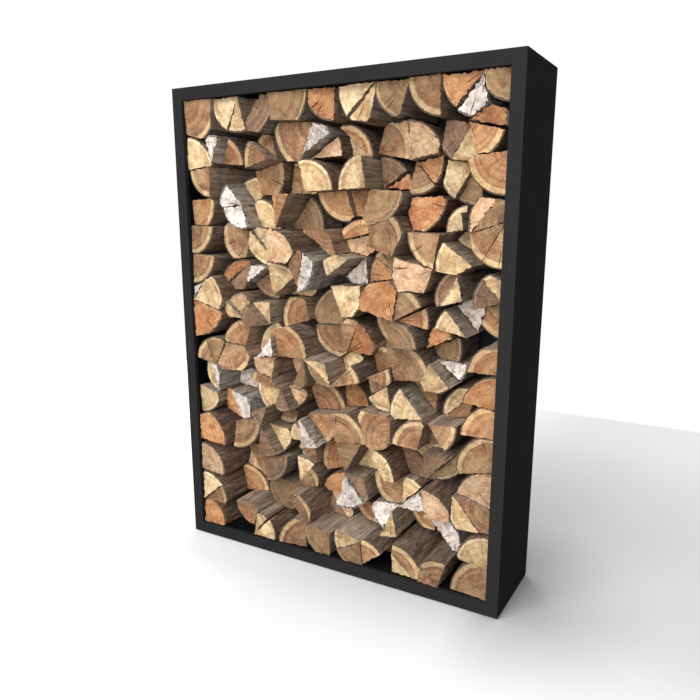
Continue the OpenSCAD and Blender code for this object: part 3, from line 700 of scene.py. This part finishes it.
class SplitLog:
    # one log of the CAD, seen from the front, and the grid of places that its sawn end is made of
    def __init__(self, corners):
        self.rear = corners[:, 1].max()
        atRear = corners[:, 1] > self.rear - close["depth"]
        outline = corners[atRear][:, [0, 2]]
        self.middle = outline.mean(axis=0)
        self.outline = outline[np.argsort(np.arctan2(*(outline - self.middle).T[::-1]))]
        self.edges = np.roll(self.outline, -1, axis=0) - self.outline
        self.edgeLength = np.linalg.norm(self.edges, axis=1)
        front = corners[~atRear]
        acrossFront = np.c_[np.ones(len(front)), front[:, 0], front[:, 2]]
        self.plane = np.linalg.lstsq(acrossFront, front[:, 1], rcond=None)[0]
        self.heart, self.barkRadius = self.findBark()

    def frontOf(self, spot):
        return self.plane[0] + self.plane[1] * spot[0] + self.plane[2] * spot[1]

    def findBark(self):
        # the circle that most corners lie on; a true heart is at a corner or well outside
        outline, count = self.outline, len(self.outline)
        outward = np.c_[self.edges[:, 1], -self.edges[:, 0]] / self.edgeLength[:, None]
        most, heart, barkRadius = 3, None, None
        for start in range(count):
            centre = circleThrough(*(outline[(start + step) % count] for step in range(3)))
            if centre is None:
                continue
            reach = np.linalg.norm(outline - centre, axis=1)
            beyond = ((centre - outline) * outward).sum(axis=1).max()
            if beyond < barkCircle["outside"] and reach.min() > close["heart"]:
                continue
            radius = np.linalg.norm(outline[start] - centre)
            onCircle = (abs(reach - radius) < close["circle"]).sum()
            if radius < barkCircle["largest"] and onCircle > most:
                most, heart, barkRadius = onCircle, centre, radius
        return heart, barkRadius

    def sharpestCorner(self):
        before = np.roll(self.outline, 1, axis=0) - self.outline
        cosine = (before * self.edges).sum(axis=1) / np.linalg.norm(before, axis=1) / self.edgeLength
        return self.outline[int(cosine.argmax())]

    def turnAboutHeart(self):
        # angles are taken about the heart, from the direction of the log's middle
        offsets = self.outline - self.heart
        reach = np.linalg.norm(offsets, axis=1)
        self.pointed = reach.min() < close["heart"]
        self.toMiddle = math.atan2(*(self.middle - self.heart)[::-1])
        angles = np.arctan2(offsets[:, 1], offsets[:, 0]) - self.toMiddle
        angles = (angles + math.pi) % (2 * math.pi) - math.pi
        apart = reach > close["heart"]
        self.first, self.last = angles[apart].min() + close["angle"], angles[apart].max() - close["angle"]
        # an edge is an arc of bark where both its ends lie on the circle, close together
        onCircle = np.zeros(len(reach), bool)
        self.outerRadius = reach.max() * logLook["pastBark"]
        if self.barkRadius:
            self.outerRadius = self.barkRadius
            onCircle = abs(reach - self.barkRadius) < close["circle"]
        longest = self.outerRadius * math.radians(barkCircle["longestArc"])
        self.arc = onCircle & np.roll(onCircle, -1) & (self.edgeLength < longest)
        self.corners = angles[apart & ~(self.arc & np.roll(self.arc, 1))]

    def castRay(self, angle):
        # where a ray from the heart enters and leaves the outline, and the edge it leaves by
        ray = np.array([math.cos(angle + self.toMiddle), math.sin(angle + self.toMiddle)])
        start = self.outline - self.heart
        slope = ray[0] * self.edges[:, 1] - ray[1] * self.edges[:, 0]
        slope = np.where(abs(slope) < close["slope"], close["slope"], slope)
        far = (start[:, 0] * self.edges[:, 1] - start[:, 1] * self.edges[:, 0]) / slope
        along = (start[:, 0] * ray[1] - start[:, 1] * ray[0]) / slope
        hit = (along > -close["along"]) & (along < 1 + close["along"]) & (far > -close["behind"])
        if not hit.any():
            return None
        far = np.where(hit, far, np.nan)
        return max(0.0, np.nanmin(far)), np.nanmax(far), int(np.nanargmax(far))

    def chooseRays(self, random, look):
        # evenly spread angles, the outline's own corners, and three close ones for each crack
        first, last, cracks = self.first, self.last, []
        margin, clear = crackShape["margin"], crackShape["clear"]
        for _ in range(crackShape["tries"]):
            if random.random() < look["chance"]:
                place = first + (last - first) * (margin + (1 - 2 * margin) * random.random())
                apart = all(abs(place - other) > crackShape["apart"] for other in cracks)
                if apart and last - first > crackShape["narrowestLog"]:
                    cracks.append(place)
        fixed = [first, last] + [angle for angle in self.corners if first + clear < angle < last - clear]
        for place in cracks:
            width = look["width"] * (1 + random.random())
            room = crackShape["clearWidths"] * width + clear
            fixed = [angle for angle in fixed if abs(angle - place) > room or angle in (first, last)]
            fixed += [place - width, place, place + width]
        room = (last - first) / logLook["rays"] * logLook["leastGap"]
        even = [angle for angle in np.linspace(first, last, logLook["rays"])
                if min(abs(angle - other) for other in fixed) > room]
        self.rays = sorted(fixed + even)
        self.crackRows = [self.rays.index(place) for place in cracks]

    def layGrid(self):
        # one row of places for each ray, from the heart's side out to the bark; False where a ray misses
        hits = [self.castRay(angle) for angle in self.rays]
        if any(hit is None for hit in hits):
            return False
        self.near = np.array([0.0 if self.pointed else hit[0] for hit in hits])
        self.far = np.array([self.outerRadius if self.arc[hit[2]] else hit[1] for hit in hits])
        self.directions = np.array([[math.cos(angle + self.toMiddle), math.sin(angle + self.toMiddle)]
                                    for angle in self.rays])
        span = self.far - self.near
        thick = np.minimum(logLook["barkThickness"], span * logLook["thinLogBark"])
        reach = [self.near + (span - thick) * share for share in np.linspace(0, 1, logLook["steps"] + 1)]
        reach += [self.far - thick * logLook["underBark"], self.far]
        self.grid = self.heart + self.directions[:, None] * np.stack(reach, axis=1)[..., None]
        self.radii = np.linalg.norm(self.grid - self.heart, axis=2)
        return True

    def pointInward(self):
        # which way is inwards near each side of the outline, fading towards the middle
        def fade(distance):
            return np.clip(1 - distance / logLook["rimReach"], 0, 1)[..., None] ** 2

        (firstX, firstY), (lastX, lastY) = self.directions[[0, -1]]
        swing = np.array(self.rays)[:, None]
        fromFirst = self.radii * np.sin(np.clip(swing - self.first, 0, 1.5))
        fromLast = self.radii * np.sin(np.clip(self.last - swing, 0, 1.5))
        inward = np.array([-firstY, firstX]) * fade(fromFirst)
        inward = inward + np.array([lastY, -lastX]) * fade(fromLast)
        inward = inward - self.directions[:, None] * fade(self.far[:, None] - self.radii)
        if not self.pointed:
            inward = inward + self.directions[:, None] * fade(self.radii - self.near[:, None])
        self.inward = inward

    def markBark(self):
        # the far side is bark on the arcs and the short flats, and split wood on the long flats
        hits = [self.castRay((low + high) / 2) for low, high in zip(self.rays, self.rays[1:])]
        self.barky = [hit is not None and (self.arc[hit[2]] or self.edgeLength[hit[2]] < logLook["longFlat"])
                      for hit in hits]
        self.sink = np.zeros(self.radii.shape)
        for row in range(len(self.rays)):
            if self.barky[min(row, len(self.barky) - 1)] and self.barky[max(row - 1, 0)]:
                self.sink[row, -2:] = logLook["barkStep"]

    def openCracks(self, random):
        self.crackShade = np.zeros(self.radii.shape)
        span = np.maximum(self.far - self.near, 1e-6)
        share = (self.radii - self.near[:, None]) / span[:, None]
        for row in self.crackRows:
            begin, end = crackShape["nearBark"]
            if random.random() < crackShape["fromHeart"]:
                begin, end = 0.0, crackShape["shortest"] + crackShape["longer"] * random.random()
            inside = np.clip((share[row] - begin) / (end - begin), 0, 1)
            opening = np.sin(math.pi * inside ** crackShape["skew"])
            opening[0] = opening[-1] = 0.0
            self.sink[row] += (crackShape["shallowest"] + crackShape["deeper"] * random.random()) * opening
            # painted shade: darker where the crack opens wider
            self.crackShade[row] = np.clip(opening * crackShape["darkness"], 0, 1)

    def rim(self):
        # the loop of grid places round the sawn end, with what each step along it is made of
        lastRow, lastColumn = len(self.rays) - 1, self.radii.shape[1] - 1
        loop = [(0, column, splitFace) for column in range(lastColumn)]
        loop += [(row, lastColumn, barkFace if self.barky[row] else splitFace) for row in range(lastRow)]
        loop += [(lastRow, column, splitFace) for column in range(lastColumn, 0, -1)]
        if not self.pointed:
            loop += [(row, 0, splitFace) for row in range(lastRow, 0, -1)]
        return loop


def findHearts(logs):
    # a log without bark shares the heart of the log it was split from, or has it at its sharpest corner
    hearts = [log.heart for log in logs if log.heart is not None]
    for log in logs:
        if log.heart is None:
            gaps = np.array([np.linalg.norm(log.outline - heart, axis=1).min() for heart in hearts])
            shared = gaps.min() < close["splitHeart"]
            log.heart = hearts[int(gaps.argmin())] if shared else log.sharpestCorner()


class LogMesh:
    # collects the logs of one node, with the attributes that the weathering and the materials read
    def __init__(self, look):
        self.look = look
        self.bites = {splitFace: logLook["splitBite"] * look["ragged"],
                      barkFace: logLook["barkBite"] * look["ragged"]}
        self.places, self.extras, self.faces, self.surfaces = [], [], [], []

    def addLog(self, log, random):
        log.turnAboutHeart()
        log.chooseRays(random, self.look)
        if not log.layGrid():
            return False
        log.pointInward()
        log.markBark()
        log.openCracks(random)
        self.tone = random.random()
        self.offset = random.random() * logLook["grainSpread"]
        sawTurn = random.random() * math.pi
        self.sawWay = math.cos(sawTurn), math.sin(sawTurn)
        self.addSides(log, self.addEnd(log))
        return True

    def put(self, log, spot, y, way=(0, 0), bite=0.0, sink=0.0, rough=0.0, crack=0.0):
        self.places.append((spot[0], y, spot[1]))
        shift = spot - log.heart
        toBark = log.outerRadius - math.hypot(*shift)
        saw = spot[0] * self.sawWay[0] + spot[1] * self.sawWay[1]
        self.extras.append((shift[0], y + self.offset, shift[1], way[0], 0.0, way[1],
                            bite, sink, rough, crack, toBark, self.tone, saw))
        return len(self.places) - 1

    def addFace(self, corners, surface):
        self.faces.append(corners)
        self.surfaces.append(surface)

    def addEnd(self, log):
        rows, columns = log.radii.shape
        index = np.zeros((rows, columns), int)
        for row in range(rows):
            for column in range(columns):
                if log.pointed and column == 0 and row > 0:
                    index[row, 0] = index[0, 0]
                    continue
                spot = log.grid[row, column]
                index[row, column] = self.put(
                    log, spot, log.frontOf(spot), log.inward[row, column], self.bites[splitFace],
                    log.sink[row, column], self.look["rough"], log.crackShade[row, column])
        for row in range(rows - 1):
            for column in range(columns - 1):
                quad = [index[row, column], index[row, column + 1],
                        index[row + 1, column + 1], index[row + 1, column]]
                self.addFace(quad[:3] if quad[0] == quad[3] else quad, sawnEnd)
        return index

    def addSides(self, log, index):
        # rings of faces from the sawn end back to the rear, and a fan that closes the rear
        loop = log.rim()
        fronts = [log.frontOf(log.grid[row, column]) for row, column, _ in loop]
        depths = [depth for depth in logLook["rings"]
                  if max(fronts) + depth <= log.rear - logLook["rearMargin"]]
        previous = [index[row, column] for row, column, _ in loop]
        after = [*range(1, len(loop)), 0]
        for depth in depths + [None]:
            current = []
            for number, (row, column, surface) in enumerate(loop):
                bite = self.bites[max(surface, loop[number - 1][2])]
                y = log.rear if depth is None else fronts[number] + depth
                current.append(self.put(log, log.grid[row, column], y, log.inward[row, column],
                                        bite * logLook["rearWear"] if depth is None else bite))
            for number, (_, _, surface) in enumerate(loop):
                corners = [previous[after[number]], previous[number], current[number], current[after[number]]]
                self.addFace(corners, surface)
            previous = current
        centre = self.put(log, log.middle, log.rear)
        for number in range(len(loop)):
            self.addFace([previous[after[number]], previous[number], centre], sawnEnd)

    def finished(self, name):
        made = bpy.data.meshes.new(name)
        made.from_pydata(self.places, [], [[int(corner) for corner in face] for face in self.faces])
        extras, column = np.array(self.extras, np.float32), 0
        for title, width in logAttributes.items():
            kind, field = ("FLOAT_VECTOR", "vector") if width == 3 else ("FLOAT", "value")
            layer = made.attributes.new(title, kind, "POINT")
            layer.data.foreach_set(field, np.ascontiguousarray(extras[:, column:column + width]).ravel())
            column += width
        layer = made.attributes.new("surface", "INT", "FACE")
        layer.data.foreach_set("value", self.surfaces)
        return made


def mergeClose(body):
    bmesh.ops.remove_doubles(body, verts=body.verts, dist=close["vertex"])
    bmesh.ops.dissolve_degenerate(body, dist=close["vertex"], edges=body.edges)


def makeLogs():
    weathering = makeWeathering()
    read = {name: [SplitLog(corners) for corners in solidsOf(nodes[name])]
            for name in sorted(nodes) if "_logs_tier_" in name}
    findHearts([log for logs in read.values() for log in logs])
    made, triangles = 0, 0
    for number, (name, logs) in enumerate(read.items()):
        kind, tier = name.split("_logs_tier_")
        mesh = LogMesh(crackLook[kind])
        for order, log in enumerate(logs):
            if mesh.addLog(log, np.random.RandomState(1000 * number + order)):
                made += 1
            else:
                print("store: no rays for log", name, order)
        title = kind + "Logs" + tier
        finish = dict(zip(("End grain", "Split face", "Bark"), woods[kind]))
        piece = grow(title, mesh.finished(title), weathering, {**wearLook["inputs"], **finish})
        reshape(piece.data, mergeClose)
        smooth(piece.data, logLook["sharpAngle"])
        triangles += sum(len(face.vertices) - 2 for face in piece.data.polygons)
        install(piece, name)
    print("store: logs made,", made, "logs,", triangles, "triangles")


makeLogs()


# Steel, screws and pads

# metres and degrees; a face no wider than cutEdge is the sheet's cut edge, which has no fold
foldLook = {"radius": 0.0012, "segments": 3, "cutEdge": 0.003, "shortest": 0.3, "flat": 0.5, "leastFold": 69,
            "sharpAngle": 40}


def markFolds(body, along, look):
    # weighs the long sharp edges along the sheet, so that only they are rounded
    bmesh.ops.remove_doubles(body, verts=body.verts, dist=close["vertex"])
    bmesh.ops.dissolve_limit(body, angle_limit=math.radians(look["flat"]), verts=body.verts, edges=body.edges)
    bmesh.ops.recalc_face_normals(body, faces=body.faces)
    weights = body.edges.layers.float
    folds = weights.get("bevel_weight_edge") or weights.new("bevel_weight_edge")
    for edge in body.edges:
        run = edge.verts[1].co - edge.verts[0].co
        if run.length > look["shortest"] and abs(run[along]) > 0.5 * run.length:
            sharp = len(edge.link_faces) == 2 and edge.calc_face_angle(0) > math.radians(look["leastFold"])
            narrowest = min(face.calc_area() for face in edge.link_faces) / run.length
            edge[folds] = float(sharp and narrowest > look["cutEdge"])


def makeCasing(side, look):
    # the CAD sheet with the round of its folds
    node = "casing_" + side
    mesh = nodes[node].data.copy()
    size = [high - low for low, high in zip(*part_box(node))]
    reshape(mesh, lambda body: markFolds(body, size.index(max(size)), look))
    piece = bpy.data.objects.new("casing" + side.capitalize(), mesh)
    scene.collection.objects.link(piece)
    mesh.materials.clear()
    mesh.materials.append(finishes["powder_coat"])
    smooth(mesh, look["sharpAngle"])
    bevel = piece.modifiers.new("folds", "BEVEL")
    bevel.limit_method, bevel.width, bevel.segments = "WEIGHT", look["radius"], look["segments"]
    bevel.harden_normals = True
    install(piece, node)


for side in ("left", "right", "top", "bottom"):
    makeCasing(side, foldLook)


def lathe(profile, steps):
    # a closed solid of revolution about Z from (radius, height) points that start and end on the axis
    turns = [2 * math.pi * step / steps for step in range(steps)]
    places = [(0, 0, profile[0][1])]
    for radius, height in profile[1:-1]:
        places += [(radius * math.cos(turn), radius * math.sin(turn), height) for turn in turns]
    places.append((0, 0, profile[-1][1]))
    ringCount, tip = len(profile) - 2, len(places) - 1
    faces = []
    for step, after in zip(range(steps), [*range(1, steps), 0]):
        rings = [(1 + ring * steps + step, 1 + ring * steps + after) for ring in range(ringCount)]
        faces.append((0, rings[0][0], rings[0][1]))
        faces += [(low[0], high[0], high[1], low[1]) for low, high in zip(rings, rings[1:])]
        faces.append((rings[-1][0], tip, rings[-1][1]))
    mesh = bpy.data.meshes.new("turned")
    mesh.from_pydata(places, [], faces)
    return mesh


# metres and degrees; a screw's dome is drawn between two angles, its socket has six sides
screwLook = {"headRadius": 0.00475, "headHeight": 0.00275, "shankRadius": 0.0025, "length": 0.012,
             "tipRadius": 0.002, "tipLength": 0.0004, "neck": 0.97, "domeFrom": 8, "domeTo": 78,
             "domeSteps": 6, "domeRoundness": 0.8, "socketRadius": 0.00173, "socketDepth": 0.0018,
             "steps": 30, "largestTurn": 6.283}
padLook = {"radius": 0.025, "height": 0.004, "round": 0.0009, "roundSteps": 5, "ribs": 3, "ribHalf": 0.00022,
           "ribDepth": 0.0004, "steps": 48, "largestTurn": 0.0}
scatterLook = {"seed": 3, "sharpAngle": 32}


def screwProfile(look):
    shank, length, head = look["shankRadius"], look["length"], look["headRadius"]
    profile = [(0, -length), (look["tipRadius"], -length), (shank, look["tipLength"] - length), (shank, 0.0),
               (head * look["neck"], 0.0)]
    for step in range(look["domeSteps"] + 1):
        turn = math.radians(look["domeFrom"] + (look["domeTo"] - look["domeFrom"]) * step / look["domeSteps"])
        profile.append((head * math.cos(turn) ** look["domeRoundness"], look["headHeight"] * math.sin(turn)))
    return profile


def makeScrew(look):
    # round head with a six-sided socket
    steps, socket, top = look["steps"], look["socketRadius"], look["headHeight"]
    profile = screwProfile(look)
    floor = top - look["socketDepth"]
    mesh = lathe(profile + [(socket, top), (socket, floor), (0, floor)], steps)
    for ring in (len(profile), len(profile) + 1):
        for step in range(steps):
            corner = mesh.vertices[1 + (ring - 1) * steps + step]
            turn = 2 * math.pi * step / steps
            flat = socket * math.cos(math.pi / 6) / math.cos((turn % (math.pi / 3)) - math.pi / 6)
            corner.co.x, corner.co.y = flat * math.cos(turn), flat * math.sin(turn)
    return mesh


def padProfile(look):
    # rounded at both ends, with ribs round the side
    radius, height, edge = look["radius"], look["height"], look["round"]
    turns = np.linspace(0, math.pi / 2, look["roundSteps"])
    base = [(radius - edge + edge * math.sin(turn), edge - edge * math.cos(turn)) for turn in turns]
    top = [(radius - edge + edge * math.cos(turn), height - edge + edge * math.sin(turn)) for turn in turns]
    ribs = []
    for number in range(look["ribs"]):
        groove = edge + (height - 2 * edge) * (number + 0.5) / look["ribs"]
        ribs += [(radius, groove - look["ribHalf"]), (radius - look["ribDepth"], groove),
                 (radius, groove + look["ribHalf"])]
    return [(0, 0)] + base + ribs + top + [(0, height)]


def middlesOf(node):
    return [(solid.min(axis=0) + solid.max(axis=0)) / 2 for solid in solidsOf(nodes[node])]


def faceOutward(body):
    bmesh.ops.recalc_face_normals(body, faces=body.faces)


def scatterParts(name, node, part, points, facing, slot, turn):
    template = bpy.data.objects.new(name + "Template", part)
    scene.collection.objects.link(template)
    host = bpy.data.meshes.new(name + "Points")
    host.from_pydata(points, [], [])
    layer = host.attributes.new("facing", "FLOAT_VECTOR", "POINT")
    layer.data.foreach_set("vector", facing * len(points))
    piece = grow(name, host, makeScatter(), {"Part": template, "Largest turn": turn,
                                             "Seed": scatterLook["seed"], "Finish": finishes[slot]})
    bpy.data.objects.remove(template)
    bpy.data.meshes.remove(part)
    reshape(piece.data, faceOutward)
    smooth(piece.data, scatterLook["sharpAngle"])
    install(piece, node)


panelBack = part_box("back_panel")[1].y
screwPoints = [(x, panelBack, z) for x, _, z in middlesOf("back_panel_screws")]
padPoints = [(x, y, 0.0) for x, y, _ in middlesOf("floor_pads")]
pad = lathe(padProfile(padLook), padLook["steps"])
scatterParts("panelScrews", "back_panel_screws", makeScrew(screwLook), screwPoints, (0, 1, 0), "zinc_plate",
             screwLook["largestTurn"])
scatterParts("floorPads", "floor_pads", pad, padPoints, (0, 0, 1), "rubber", padLook["largestTurn"])

# the CAD nodes that stay take the finish that the record names
for subpart in frame["record"]["subparts"]:
    node = nodes[subpart["node"]]
    if subpart["material_slot"] in finishes and not node.hide_render:
        node.data.materials.clear()
        node.data.materials.append(finishes[subpart["material_slot"]])
print("store: steel, screws and pads made")


# Floor, background and light

# metres; a glow is painted light on the floor, given as two places and the brightness at each of them;
# contact is how far the painted shade round the store reaches
stageLook = {"floorRear": 2.17, "floorSide": 9.0, "floorFront": -8.0, "floor": (0.5, 0.5, 0.5),
             "bounce": (0.3, 0.3, 0.3), "ambient": 0.31, "contact": 0.45, "contactSamples": 12,
             "grain": (210.0, 5.0, 0.8), "roughness": (0.85, 0.95), "relief": 0.0004, "bump": 0.3,
             "acrossGlow": (-1.3, 0.5, 0.75, 0.29), "farGlow": (0.2, 1.8, 1.0, 1.8),
             "nearGlow": (-0.55, 0.02, 1.9, 1.0), "nearAcross": (-0.2, 0.6, 0.67, 1.0),
             "contactPower": (0.46, 0.68, 0.42, 4.6), "grainGlow": (0.38, 0.62, 1.02, 0.95)}
lamps = {"keyLight": {"place": (-2.2, -7.0, 6.9), "aim": (0.0, 0.0, 0.7), "size": 5.0, "watts": 655.0},
         "fillLight": {"place": (0.75, -3.7, 1.7), "aim": (0.0, 0.0, 0.8), "size": 1.6, "watts": 84.0},
         "rearLight": {"place": (-3.4, 5.2, 3.4), "aim": (0.0, 0.0, 0.8), "size": 2.0, "watts": 110.0}}


def seenDirectly(wiring):
    path = wiring.add("ShaderNodeLightPath").outputs
    return wiring.most(path["Is Camera Ray"], wiring.most(path["Is Glossy Ray"], path["Is Transmission Ray"]))


def paintedFloorLight(wiring, look, at, grain):
    # painted light: white on the left and behind, pale on the right, with painted shade that is darker close
    # to the store
    place = wiring.add("ShaderNodeSeparateXYZ", {0: at}).outputs
    across, far, near, nearAcross, power = [
        wiring.ramp(place[axis], *look[name])
        for axis, name in (("X", "acrossGlow"), ("Y", "farGlow"), ("Y", "nearGlow"), ("X", "nearAcross"),
                           ("X", "contactPower"))]
    paintedLight = wiring.times(wiring.times(across, far), wiring.most(1.0, wiring.times(near, nearAcross)))
    unshaded = wiring.add("ShaderNodeAmbientOcclusion", {"Distance": look["contact"]},
                          samples=look["contactSamples"]).outputs["AO"]
    # painted shade of the store: the painted light dims where the store closes the floor in
    paintedLight = wiring.times(paintedLight, wiring.calc("POWER", unshaded, power))
    return wiring.times(paintedLight, wiring.ramp(grain, *look["grainGlow"]))


def makeFloor(look):
    # throws less light up at the store than the eye sees on it
    material, wiring, shader = newMaterial("paleFloor")
    at = wiring.place()
    grain = wiring.noise(at, *look["grain"])
    seen = seenDirectly(wiring)
    # the floor glows with painted light and shade, which only the eye and reflections see
    paintedLight = wiring.times(seen, paintedFloorLight(wiring, look, at, grain))
    shader.inputs["Emission Color"].default_value = (1, 1, 1, 1)
    wiring.tree.links.new(paintedLight, shader.inputs["Emission Strength"])
    colour = wiring.mix(seen, look["bounce"], look["floor"])
    rough = wiring.sheen(grain, *look["roughness"])
    finishWith(wiring, shader, colour, rough, grain, look["relief"], look["bump"])
    side, front, rear = look["floorSide"], look["floorFront"], look["floorRear"]
    corners = [(-side, front, 0), (side, front, 0), (side, rear, 0), (-side, rear, 0)]
    mesh = bpy.data.meshes.new("floor")
    mesh.from_pydata(corners, [], [(0, 1, 2, 3)])
    mesh.materials.append(material)
    floor = bpy.data.objects.new("floor", mesh)
    scene.collection.objects.link(floor)


def makeWorld(ambient):
    # white to the eye, dim as a light
    world = bpy.data.worlds.new("studio")
    scene.world = world
    world.use_nodes = True
    world.node_tree.nodes.clear()
    wiring = Wiring(world.node_tree)
    level = wiring.plus(ambient, wiring.times(seenDirectly(wiring), 1.0 - ambient))
    shader = wiring.add("ShaderNodeBackground", {"Color": (1, 1, 1, 1), "Strength": level})
    wiring.add("ShaderNodeOutputWorld", {0: shader.outputs[0]})


def makeLamp(name, look):
    light = bpy.data.lights.new(name, "AREA")
    light.shape, light.size, light.energy = "SQUARE", look["size"], look["watts"]
    lamp = bpy.data.objects.new(name, light)
    lamp.location = look["place"]
    lamp.rotation_euler = (Vector(look["aim"]) - Vector(look["place"])).to_track_quat("-Z", "Y").to_euler()
    scene.collection.objects.link(lamp)


makeFloor(stageLook)
makeWorld(stageLook["ambient"])
for name, look in lamps.items():
    makeLamp(name, look)
print("store: stage and lights made")
